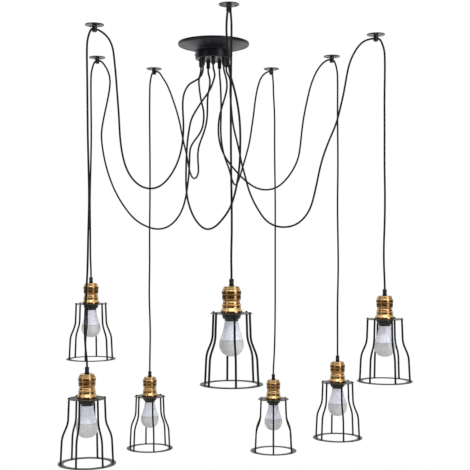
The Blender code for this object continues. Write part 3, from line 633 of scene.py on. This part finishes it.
def cut(mesh, *cutters):
    """The mesh with other meshes cut out of it by Boolean modifiers, applied."""
    base = bpy.data.objects.new("base", mesh)
    helpers = [base] + [bpy.data.objects.new("cutter", cutter) for cutter in cutters]
    for helper in helpers:
        show(helper)
    for helper in helpers[1:]:
        boolean = base.modifiers.new("cut", 'BOOLEAN')
        boolean.object = helper
        boolean.solver = 'EXACT'
    bpy.context.view_layer.update()
    result = bpy.data.meshes.new_from_object(base.evaluated_get(bpy.context.evaluated_depsgraph_get()))
    for helper in helpers:
        bpy.data.objects.remove(helper, do_unlink=True)
    return smoothed(result, 40)


def rod(radius, length, matrix, sides=32):
    shape = bmesh.new()
    bmesh.ops.create_cone(shape, cap_ends=True, segments=sides, radius1=radius * MM, radius2=radius * MM,
                          depth=length * MM, matrix=matrix)
    return as_mesh(shape, "rod")


# %% [markdown]
# ## Shared effects
#
# Paint, nylon and moulded plastic differ in colour and gloss, but all of them have a fine grain and slight
# cloudiness in the gloss. Where they face up they turn paler: a little dust, and on the cages also a painted
# sheen. Those are made once, as a node group, and each material sets its own amounts.

# %% Node group: grained coat
def new_group(name, inputs, outputs):
    """A node group, with what its input node gives and what its output node takes."""
    group = bpy.data.node_groups.new(name, 'ShaderNodeTree')
    for direction, sockets in (('INPUT', inputs), ('OUTPUT', outputs)):
        for label, kind in sockets.items():
            group.interface.new_socket(label, in_out=direction, socket_type="NodeSocket" + kind)
    return group, group.nodes.new('NodeGroupInput').outputs, group.nodes.new('NodeGroupOutput').inputs


coat, given, result = new_group(
    "grained_coat",
    {"Colour": "Color", "Roughness": "Float", "Cloud": "Float", "Grain Size": "Float",
     "Grain Depth": "Float", "Dust And Sheen": "Float"},
    {"Colour": "Color", "Roughness": "Float", "Normal": "Vector"})
place = object_place(coat)
cloud = add(coat, "TexNoise", Vector=place, Scale=38.0, Detail=3.0, Roughness=0.55).outputs["Fac"]
density = maths(coat, 'DIVIDE', 1 / MM, given["Grain Size"])
grain = add(coat, "TexNoise", Vector=place, Scale=density, Detail=2.0, Roughness=0.5).outputs["Fac"]
# Faces that point up are paled towards grey: part dust, part painted sheen.
facing = add(coat, "SeparateXYZ", Vector=add(coat, "NewGeometry").outputs["Normal"]).outputs["Z"]
upward = ramp(coat, facing, 0.45, 0.95, smooth=True)
specks = add(coat, "TexNoise", Vector=place, Scale=420.0, Detail=4.0, Roughness=0.65).outputs["Fac"]
speckled = ramp(coat, specks, 0.40, 0.72, 0.60, 1.0)
dust_and_sheen = maths(coat, 'MULTIPLY', maths(coat, 'MULTIPLY', upward, speckled), given["Dust And Sheen"], clamp=True)
varied = blend_colours(coat, 1.0, given["Colour"], ramp(coat, cloud, 0.25, 0.75, 0.82, 1.22), 'MULTIPLY')
feed(coat, result["Colour"], blend_colours(coat, dust_and_sheen, varied, (0.36, 0.34, 0.31, 1)))
swing = maths(coat, 'MULTIPLY', maths(coat, 'SUBTRACT', cloud, 0.5), given["Cloud"])
dulled = maths(coat, 'MULTIPLY_ADD', dust_and_sheen, 0.4, maths(coat, 'ADD', given["Roughness"], swing))
feed(coat, result["Roughness"], dulled)
relief = add(coat, "Bump", Strength=given["Grain Depth"], Distance=0.2 * MM, Height=grain)
feed(coat, result["Normal"], relief.outputs["Normal"])
print("grained_coat has", len(coat.nodes), "nodes")


def coated(name, colour, roughness, size, cloud=0.08, depth=0.08, dust_and_sheen=0.03, **constants):
    """A material whose colour, gloss and grain come from the shared coat. The grain's size is in mm."""
    material, tree, shader = new_material(name)
    group = tree.nodes.new('ShaderNodeGroup')
    group.node_tree = coat
    for socket, value in zip(group.inputs, ((*colour, 1), roughness, cloud, size, depth, dust_and_sheen)):
        socket.default_value = value
    for label, source in zip(("Base Color", "Roughness", "Normal"), group.outputs):
        feed(tree, shader[label], source)
    for label, value in constants.items():
        shader[label.replace("_", " ")].default_value = value
    return material


# %% [markdown]
# The canopy has a satin paint with a hint of blue, the hooks and cages a black powder coat with more
# grain, and the grips and sockets are moulded, one in nylon and one in a harder, glossier resin.

# %% Painted and moulded finishes
canopy_paint = coated("canopy_paint", (0.004, 0.0045, 0.008), 0.30, 0.9, depth=0.05, dust_and_sheen=0.10,
                      Specular_IOR_Level=0.25)
hook_paint = coated("hook_paint", (0.006, 0.006, 0.007), 0.26, 0.5, dust_and_sheen=0.12)
# The cage's dust amount also paints a pale sheen on the tops of its disc and ring.
cage_paint = coated("cage_paint", (0.003, 0.003, 0.004), 0.32, 0.45, depth=0.10, dust_and_sheen=0.11,
                    Specular_IOR_Level=0.22)
nylon = coated("nylon", (0.005, 0.005, 0.005), 0.42, 0.35, Specular_IOR_Level=0.3)
resin = coated("socket_resin", (0.005, 0.005, 0.006), 0.30, 1.2, cloud=0.06, depth=0.04,
               Specular_IOR_Level=0.35)
print("coated:", [made.name for made in (canopy_paint, hook_paint, cage_paint, nylon, resin)])

# %% [markdown]
# ## Antique brass
#
# The lamp holders are spun brass, polished and then darkened, so the high places shine and the grooves
# hold a brown patina. A lathe leaves fine lines that run round the piece. They come from a noise
# texture on the turning map, squeezed along the profile and stretched round it. The stored hollow value
# darkens the grooves. The holder's body between two distances along the profile is darker still: part
# patina, and part painted shade, which stands in for the dark room that the upright body reflects.

# %% Brass
BODY_TOP = (26.2 * MM, 29.0 * MM)
BODY_FOOT = (48.5 * MM, 51.0 * MM)
BODY_PATINA_AND_SHADE = 0.70
brass, tree, shader = new_material("antique_brass")
shader["Metallic"].default_value = 1.0
turning = add(tree, "UVMap", {"uv_map": "turning"}).outputs["UV"]
lines_at = add(tree, "Mapping", Vector=turning, Scale=(5.0, 2600.0, 1.0)).outputs["Vector"]
lathe_lines = add(tree, "TexNoise", {"noise_dimensions": '2D'}, Vector=lines_at, Scale=1.0,
                  Detail=3.0).outputs["Fac"]
spots = add(tree, "TexNoise", Vector=object_place(tree), Scale=60.0, Detail=4.0,
            Roughness=0.55).outputs["Fac"]
groove = add(tree, "Attribute", {"attribute_name": "hollow"}).outputs["Fac"]
stained = maths(tree, 'ADD', ramp(tree, groove, 0.02, 0.45), ramp(tree, spots, 0.42, 0.80, 0.0, 0.30))
lengthwise = add(tree, "SeparateXYZ", Vector=turning).outputs["Y"]
# The band over the body darkens the brass: part patina, part painted shade for the dark room the upright body
# reflects.
body_top, body_foot = (ramp(tree, lengthwise, *ends, 0.0, BODY_PATINA_AND_SHADE, smooth=True)
                       for ends in (BODY_TOP, BODY_FOOT))
patina_and_shade = maths(tree, 'ADD', stained, maths(tree, 'SUBTRACT', body_top, body_foot), clamp=True)
tint = blend_colours(tree, patina_and_shade, (0.64, 0.40, 0.175, 1), (0.13, 0.062, 0.015, 1))
feed(tree, shader["Base Color"], tint)
gloss = ramp(tree, patina_and_shade, 0.0, 1.0, 0.15, 0.27)
streaked = maths(tree, 'MULTIPLY_ADD', lathe_lines, 0.12, maths(tree, 'SUBTRACT', gloss, 0.06))
feed(tree, shader["Roughness"], streaked)
ridges = add(tree, "Bump", Strength=0.12, Distance=0.04 * MM, Height=lathe_lines)
feed(tree, shader["Normal"], ridges.outputs["Normal"])
print("brass has", len(tree.nodes), "nodes")

# %% [markdown]
# ## Round flex
#
# The cord is a smooth round flex with a soft black jacket. An extruded jacket isn't perfectly even: it has
# very faint lines along its length and slow ripples, and handling leaves it a little duller in places. The
# texture map gives metres along the cord and the share of the way round, so the two are easy to tell apart.

# %% Cord jacket
jacket, tree, shader = new_material("cord_jacket")
way_along = add(tree, "UVMap", {"uv_map": "turning"}).outputs["UV"]
stretched = add(tree, "Mapping", Vector=way_along, Scale=(14.0, 9.0, 1.0)).outputs["Vector"]
ripples = add(tree, "TexNoise", {"noise_dimensions": '2D'}, Vector=stretched, Scale=1.0,
              Detail=4.0).outputs["Fac"]
handled = add(tree, "TexNoise", Vector=object_place(tree), Scale=30.0, Detail=4.0).outputs["Fac"]
jacket_tone = blend_colours(tree, handled, (0.002, 0.002, 0.002, 1), (0.006, 0.006, 0.007, 1))
feed(tree, shader["Base Color"], jacket_tone)
feed(tree, shader["Roughness"], ramp(tree, handled, 0.3, 0.7, 0.38, 0.52))
jacket_relief = add(tree, "Bump", Strength=0.20, Distance=0.2 * MM, Height=ripples)
feed(tree, shader["Normal"], jacket_relief.outputs["Normal"])
shader["Specular IOR Level"].default_value = 0.2
for piece in cords:
    piece.data.materials.clear()
    piece.data.materials.append(jacket)
print("the jacket covers", len(cords), "lengths of cord")

# %% [markdown]
# ## The canopy
#
# The canopy is two spun steel shells. A dished plate covers the hole in the ceiling, and a cup below it
# holds the wiring. Both are thin, so each profile has an outer and an inner side.

# %% Canopy plate and cup
CANOPY_RADIUS, CUP_RADIUS, CUP_TOP, CUP_FOOT = 103, 53, -25.0, -48
PLATE_WALL, CUP_WALL = 1.4, 1.6
canopy_place = ("canopy_and_hooks", "canopy_black")
plate = finished(turned([
    (CANOPY_RADIUS, 0, 0.4), (CANOPY_RADIUS, -7.6, 3.0), (75.4, -15.8, 16), (58.2, -22.0, 5),
    (54.8, -24.6, 0.5), (48.6, -24.6, 0.4), (48.6, -23.2, 0.4), (54.6, -22.9, 0.8), (57.4, -20.6, 4),
    (74.9, -14.3, 16), (CANOPY_RADIUS - PLATE_WALL, -6.3, 1.8), (CANOPY_RADIUS - PLATE_WALL, 0, 0.3)],
    steps=160), "plate")
set_down("canopy_cover", plate, at((0, 0, 0)), canopy_paint, *canopy_place, "canopy_plate")
cup = finished(turned([
    (0, -46.6), (CUP_RADIUS - CUP_WALL, -46.6, 1.6), (CUP_RADIUS - CUP_WALL, CUP_TOP, 0.4),
    (CUP_RADIUS, CUP_TOP, 0.4), (CUP_RADIUS, CUP_FOOT, 3.0), (0, CUP_FOOT)],
    steps=128, closed=False), "cup")
set_down("canopy_bowl", cup, at((0, 0, 0)), canopy_paint, *canopy_place, "canopy_cup")
print("canopy is", 2 * CANOPY_RADIUS, "mm across")

# %% [markdown]
# ## Small screws
#
# Pan-head screws hold the cup to its bracket and each hook to the ceiling. A head is a turned dome with
# a cross cut into it by two small blocks. One mesh serves for all of them.

# %% Pan-head screw
def block(size, matrix=Matrix.Identity(4)):
    shape = bmesh.new()
    bmesh.ops.create_cube(shape, size=1, matrix=matrix @ Matrix.Diagonal((*[side * MM for side in size], 1)))
    return as_mesh(shape, "block")


head = finished(turned([(0, 1.75), (2.4, 1.6, 0.9), (3.6, 0.5, 0.5), (3.6, 0, 0.1), (2.0, 0, 0.1), (2.0, -2),
                        (0, -2)], steps=40, closed=False), "screw")
SLOT_LENGTH, SLOT_WIDTH, SLOT_DEPTH = 3.0, 0.75, 1.5
high = Matrix.Translation((0, 0, SLOT_DEPTH * MM))
screw = cut(head, block((SLOT_LENGTH, SLOT_WIDTH, SLOT_DEPTH), high),
            block((SLOT_WIDTH, SLOT_LENGTH, SLOT_DEPTH), high))
screw_black = coated("screw_black", (0.02, 0.02, 0.022), 0.32, 0.3, cloud=0.15, depth=0.1, dust_and_sheen=0.1,
                     Metallic=0.6)


def pointing(place, direction, spin=0.0):
    """The matrix that stands a piece made along +Z on a place, facing a direction."""
    turn = Vector(direction).to_track_quat('Z', 'Y').to_matrix().to_4x4()
    return Matrix.Translation(place) @ turn @ Matrix.Rotation(math.radians(spin), 4, 'Z')


SEAT_GAP = 0.1
EAR_SCREW_HEIGHT = -34.4 * MM
for side, label in ((-1, "left"), (1, "right")):
    seat = (side * (CUP_RADIUS + SEAT_GAP) * MM, 0, EAR_SCREW_HEIGHT)
    set_down(f"canopy_screw_{label}", screw, pointing(seat, (side, 0, 0), 20 * side), screw_black,
             *canopy_place, "canopy_cup")
print("a screw has", len(screw.polygons), "faces")

# %% [markdown]
# ## Cord grips of the canopy
#
# Each cord leaves the cup through a nylon grip: a collar against the cup, a tapered nose and a small
# grub screw that pinches the cord. The nose is hollow, and the cord's end is inside it. Its top is left
# open, hidden against the cup. A hexagonal nut inside the cup holds each grip. It is a turned ring of six
# steps, so its flats come by themselves.

# %% Canopy grips
nose = turned([
    (6.0, 0, 0.3), (6.0, -4.2, 0.5), (5.5, -4.6, 0.2), (5.45, -15.0, 0.2), (5.75, -15.4, 0.3),
    (5.5, -18.6, 0.8), (4.3, -21, 0.6), (2.9, -21, 0.3), (2.9, -14.0), (0, -14.0), (0, 0)],
    steps=48, closed=False)
ribbed(nose, band(-4.0, -0.4, 5.8), 0.12, -0.25)
nose_mesh = finished(nose, "canopy_grip")
nut = finished(turned([(3.0, 3.6), (4.9, 3.6, 0.3), (4.9, 2.7), (7.4, 2.7, 0.3), (7.4, 0, 0.2), (3.0, 0)],
                      steps=6), "inner_nut", sharp=20)
NUT_HEIGHT = -46.5 * MM
GRUB_REACH, GRUB_FALL = 5.3 * MM, 10 * MM
grub_size = Matrix.Diagonal((0.42, 0.42, 0.5, 1))
for n in LAMPS:
    seat = grip_place(n) + up((CUP_FOOT - SEAT_GAP) * MM)
    inside = grip_place(n) + up(NUT_HEIGHT)
    outward = grip_place(n).normalized()
    grub_place = seat + outward * GRUB_REACH - up(GRUB_FALL)
    for name, mesh, matrix, finish in (
            ("canopy_grip", nose_mesh, at(seat, 25 * n), nylon),
            ("canopy_grip_nut", nut, at(inside, 17 * n), nylon),
            ("canopy_grip_screw", screw, pointing(grub_place, outward, 15 * n) @ grub_size, screw_black)):
        set_down(f"{name}_{n}", mesh, matrix, finish, "canopy_and_hooks", "black_nylon", "canopy_cord_grips")

# %% [markdown]
# ## Ceiling hooks
#
# Each hook is a small round plate with a boss. The cord goes through a bore in the boss, and a rounded
# clamp screw in the boss's end holds it. The plate and the boss are one turned piece, and the bore is
# cut through with a rod. Two screws hold the plate.

# %% Hooks
HOOK_SCREW_REACH = 17.5 * MM
HOOK_SCREW_HEIGHT = -2.55 * MM
BORE_RADIUS = 3.5
BOSS = BOSS_RADIUS / MM
hook = finished(turned([
    (0, 0), (25.5, 0, 0.3), (25.5, -1.6, 0.5), (24.6, -2.5, 0.5), (8.6, -2.7, 0.8), (BOSS, -4.2, 1.2),
    (BOSS, -16.2, 0.4), (5.0, -16.2, 0.1), (5.0, -17.2), (0, -17.2)], closed=False), "hook")
lying = Matrix.Translation((0, 0, BORE_HEIGHT)) @ Matrix.Rotation(math.pi / 2, 4, 'Y')
hook = cut(hook, rod(BORE_RADIUS, 20, lying @ Matrix.Rotation(0.03, 4, 'Z')))
clamp = turned([(4.9, -16.5, 0.1), (6.7, -16.5, 0.3), (6.7, -18.4, 0.8), (5.3, -20.3, 1.3), (0, -20.5)],
               steps=60, closed=False)
bmesh.ops.holes_fill(clamp, edges=clamp.edges)
knurl = band(-21, -16, 6.55)
ribbed(clamp, lambda face: knurl(face) and abs(face.normal.z) < 0.2, 0.08, -0.22)
clamp_mesh = finished(clamp, "clamp_screw")
for n in LAMPS:
    turn = BORE_BEARINGS[n - 1]
    pieces = [(f"hook_{n}", hook, at(hook_place(n), turn), hook_paint),
              (f"hook_clamp_screw_{n}", clamp_mesh, at(hook_place(n), turn + 20), hook_paint)]
    for side, label in ((-1, "a"), (1, "b")):
        seat = at(hook_place(n), turn) @ Vector((0, side * HOOK_SCREW_REACH, HOOK_SCREW_HEIGHT))
        lie = pointing(seat, (0, 0, -1), 31 * n + 40 * side) @ Matrix.Diagonal((0.9, 0.9, 0.9, 1))
        pieces.append((f"hook_screw_{n}_{label}", screw, lie, screw_black))
    for piece in pieces:
        set_down(*piece, "canopy_and_hooks", "hook_black", f"ceiling_hook_{n}")
print("a hook has", len(hook.polygons), "faces")

# %% [markdown]
# ## Cord grips of the lamps
#
# A grip on top of each lamp holds the cord's other end. It has a cap, a narrow neck and a ribbed nut
# that seats on the brass.

# %% Lamp grips
grip = turned([
    (2.9, 0, 0.3), (4.6, 0, 0.6), (5.7, -1.6, 0.5), (5.7, -8.6, 0.5), (5.1, -9.6, 0.3), (5.1, -10.4, 0.3),
    (5.95, -12.8, 0.5), (5.95, -17.9, 0.3), (4.1, -18.0), (4.1, -22.9, 0.3), (0, -22.9), (0, -6.0),
    (2.9, -6.0)], steps=48)
ribbed(grip, band(-17.5, -13.3, 5.8), 0.1, -0.25)
grip_mesh = finished(grip, "lamp_grip")
GRUB_SEAT = Vector((0, -5.5 * MM, -5.0 * MM))
for n in LAMPS:
    lie = pointing(lamp_place(n) + GRUB_SEAT, (0, -1, 0), 25 * n) @ grub_size
    for name, mesh, matrix, finish in (
            ("lamp_grip", grip_mesh, at(lamp_place(n), 12 * n), nylon),
            ("lamp_grip_screw", screw, lie, screw_black)):
        set_down(f"{name}_{n}", mesh, matrix, finish, f"pendant_{n}", "black_nylon", f"lamp_cord_grip_{n}")

# %% [markdown]
# ## Brass lamp holders
#
# The holder is what the eye goes to, so its profile has every step of the real one: a stepped cap, a
# broad ring, a slightly barrelled body with a fine groove, a waist, a bead and a flared skirt.

# %% Lamp holders
HOLDER_TOP = -18.3
HOLDER_SQUASH = 63.8 / 67
profile = [
    (4.6, 0, 0.2), (17.6, 0, 1.0), (19.0, -1.4, 0.5), (19.2, -4.0, 0.3), (20.6, -5.0, 0.4), (20.9, -8.0, 0.4),
    (22.2, -9.2, 0.6), (23.3, -12.8, 1.0), (23.4, -19.2, 1.0), (22.6, -20.4, 0.4), (22.6, -22.4, 0.2),
    (22.0, -22.8, 0.15), (22.6, -23.2, 0.2), (22.6, -29.6, 2.0), (22.0, -34.6, 0.8), (20.4, -36.4, 0.5),
    (20.1, -38.4, 0.5), (20.9, -39.8, 0.6), (21.3, -42.4, 1.0), (20.9, -44.8, 0.4), (23.5, -46.2, 0.5),
    (23.8, -48.2, 0.7), (22.0, -50.0, 0.6), (22.2, -53.6, 1.5), (25.4, -60.0, 1.5), (26.4, -62.0, 0.8),
    (26.4, -66.9, 0.5), (25.2, -66.9, 0.2), (25.2, -61.6, 0.8), (20.8, -54.6, 1.0), (18.8, -50.0, 0.6),
    (18.8, -1.4, 0.4), (4.6, -1.2, 0.2)]
holder = finished(turned(shifted(profile, HOLDER_TOP, HOLDER_SQUASH)), "holder", sharp=32)
for n in LAMPS:
    set_down(f"brass_holder_{n}", holder, at(lamp_place(n)), brass, f"pendant_{n}", "antique_brass",
             f"lamp_holder_{n}")
print("a holder has", len(holder.polygons), "faces")

# %% [markdown]
# ## Sockets
#
# A black moulded collar screws up under the cage's disc and clamps it to the holder. It narrows towards
# the bulb and is ribbed so that fingers can turn it.

# %% Sockets
SOCKET_TOP = -82.1
socket = turned(shifted([
    (0, 54.6), (17.2, 54.6, 0.5), (17.2, -1.9), (23.7, -2.1, 0.6), (23.7, -5.1, 0.5), (22.9, -5.9, 0.4),
    (20.6, -14.0, 0.6), (17.3, -14.3, 0.5), (16.6, -19.3, 0.5), (14.2, -19.3, 0.4), (14.2, -6.7), (0, -6.7)],
    SOCKET_TOP), closed=False)
ribbed(socket, band(SOCKET_TOP - 13.4, SOCKET_TOP - 6.2, 20.5), 0.15, 0.35)
socket_mesh = finished(socket, "socket")
for n in LAMPS:
    set_down(f"socket_{n}", socket_mesh, at(lamp_place(n)), resin, f"pendant_{n}", "socket_black",
             f"lamp_socket_{n}")

# %% [markdown]
# ## Bulbs
#
# An unlit LED bulb is two mouldings. The housing is a pale plastic that flares from the socket, and its
# slight lilac tint is painted shade on white plastic. The dome is frosted and greyer. A fine dark seam parts
# them. The screw cap is inside the socket.

# %% Bulbs
NECK = -101.7
housing = finished(turned(shifted([
    (0, 22), (12.8, 22, 0.6), (12.8, 0.3), (16.5, 0, 0.4), (17.0, -5, 3), (18.7, -18, 8), (22.8, -31, 9),
    (27.4, -43.6, 4), (27.9, -45.0, 0.3), (26.8, -45.2), (0, -45.2)], NECK),
    closed=False, segments=6), "housing")
dome = finished(turned(shifted([
    (0, -45.5), (27.4, -45.5, 0.2), (28.2, -46.0, 0.5), (30.1, -55.5, 8), (28.9, -67.5, 7), (21.8, -79.2, 7),
    (10.5, -85.2, 6), (0, -86.0)], NECK),
    closed=False, segments=8), "dome")
# The housing's lilac tint is painted shade; the plastic itself is white.
housing_plastic = coated("bulb_housing", (0.70, 0.71, 0.80), 0.22, 2.0, cloud=0.03, depth=0.01, dust_and_sheen=0.0)
frosted = coated("bulb_dome", (0.50, 0.50, 0.51), 0.34, 1.0, cloud=0.03, depth=0.01, dust_and_sheen=0.0)
for n in LAMPS:
    for name, mesh, finish in (("bulb_housing", housing, housing_plastic), ("bulb_dome", dome, frosted)):
        set_down(f"{name}_{n}", mesh, at(lamp_place(n)), finish, f"pendant_{n}", "lamp_white", f"bulb_{n}")
print("a bulb has", len(housing.polygons) + len(dome.polygons), "faces")

# %% [markdown]
# ## Wire cages
#
# A cage is a steel disc, six bent wires and a flat ring, welded together and powder coated. A wire is a
# path of four points, and the two in the middle are bevelled so that the bends are round, as a former
# leaves them. Each wire pokes through the disc with a rounded head, and small beads of weld sit where it
# meets the disc and the ring.

# %% One cage
DISC_TOP, DISC_BOTTOM = -82.4, -83.9
RING_TOP, RING_BOTTOM = -253.9, -255.9
DISC_BORE, DISC_RADIUS = 17.7, 51.0
RING_INSIDE, RING_OUTSIDE = 61.5, 76.8
WIRES, WIRE = 6, 2.7
WIRE_TOP, WIRE_FOOT = 47.0, 69.1
HEAD, WELD_SINK, BEND = 2.2, 0.05, 11
path = bmesh.new()
stops = [(WIRE_TOP, DISC_TOP + HEAD, 0), (49.6, DISC_BOTTOM - 64, BEND), (65.6, DISC_BOTTOM - 101, BEND),
         (WIRE_FOOT, RING_TOP - 1.0, 0)]
knots = [path.verts.new((radius * MM, 0, height * MM)) for radius, height, rounding in stops]
for first, second in zip(knots, knots[1:]):
    path.edges.new((first, second))
for knot, (radius, height, rounding) in zip(knots, stops):
    if rounding:
        bmesh.ops.bevel(path, geom=[knot], offset=rounding * MM, offset_type='OFFSET', segments=8,
                        profile=0.5, affect='VERTICES', material=-1)
bent = [vert.co.copy() for vert in ordered(path)]
path.free()
if bent[0].z < bent[-1].z:
    bent.reverse()
wire_length = sum((second - first).length for first, second in zip(bent, bent[1:]))
one_wire = tube_mesh("wire", bent, WIRE * MM, 5, wire_length)
top_bead = turned([(0, 1.1), (1.6, 0.8, 0.5), (WIRE, 0, 0.1), (0, 0)], steps=24, closed=False)
bead = turned([(0, 1.5), (2.4, 1.3, 0.5), (3.5, 0, 0.3), (0, -0.2)], steps=24, closed=False)
bead_mesh, cap_mesh = finished(bead, "bead"), finished(top_bead, "cap")
disc = turned([
    (DISC_BORE, DISC_TOP, 0.2), (DISC_RADIUS - 0.6, DISC_TOP, 0.4), (DISC_RADIUS, DISC_TOP - 0.6, 0.2),
    (DISC_RADIUS, DISC_BOTTOM, 0.5), (DISC_BORE, DISC_BOTTOM, 0.2)], steps=120)
ring = turned([
    (RING_OUTSIDE, RING_TOP, 0.5), (RING_OUTSIDE, RING_BOTTOM, 0.5), (RING_INSIDE, RING_BOTTOM, 0.5),
    (RING_INSIDE, RING_TOP, 0.5)], steps=144)
cage = combined(disc, ring)
for n in range(WIRES):
    spoke = Matrix.Rotation(math.radians(360 / WIRES * n - 90), 4, 'Z')
    for mesh, radius, height in (
            (one_wire, 0, 0), (cap_mesh, WIRE_TOP, DISC_TOP + HEAD),
            (bead_mesh, WIRE_TOP + WELD_SINK, DISC_TOP - WELD_SINK),
            (bead_mesh, WIRE_FOOT, RING_TOP - WELD_SINK)):
        copy = mesh.copy()
        copy.transform(spoke @ Matrix.Translation((radius * MM, 0, height * MM)))
        cage.from_mesh(copy)
        bpy.data.meshes.remove(copy)
cage_mesh = finished(cage, "cage")
for n in LAMPS:
    set_down(f"cage_{n}", cage_mesh, at(lamp_place(n), CAGE_TURNS[n - 1]), cage_paint, f"pendant_{n}",
             "wire_black", f"wire_cage_{n}")
print("a cage has", len(cage_mesh.polygons), "faces")

# %% [markdown]
# ## The bracket
#
# The steel bracket inside the canopy is the frame's own piece. Only its finish changes: zinc plating has
# small crystals that catch the light at different angles.

# %% Zinc finish for the bracket
zinc = coated("zinc_plating", (0.52, 0.53, 0.55), 0.34, 2.5, cloud=0.2, depth=0.12, dust_and_sheen=0.2, Metallic=1.0)
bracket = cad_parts["mounting_bracket"]
for slot in bracket.material_slots:
    slot.material = zinc
print(bracket.name, "has", len(bracket.material_slots), "material slots in zinc")

# %% [markdown]
# ## Colour
#
# The Standard view transform shows colours as they are written.

# %% Finish
bpy.context.scene.view_settings.view_transform = 'Standard'
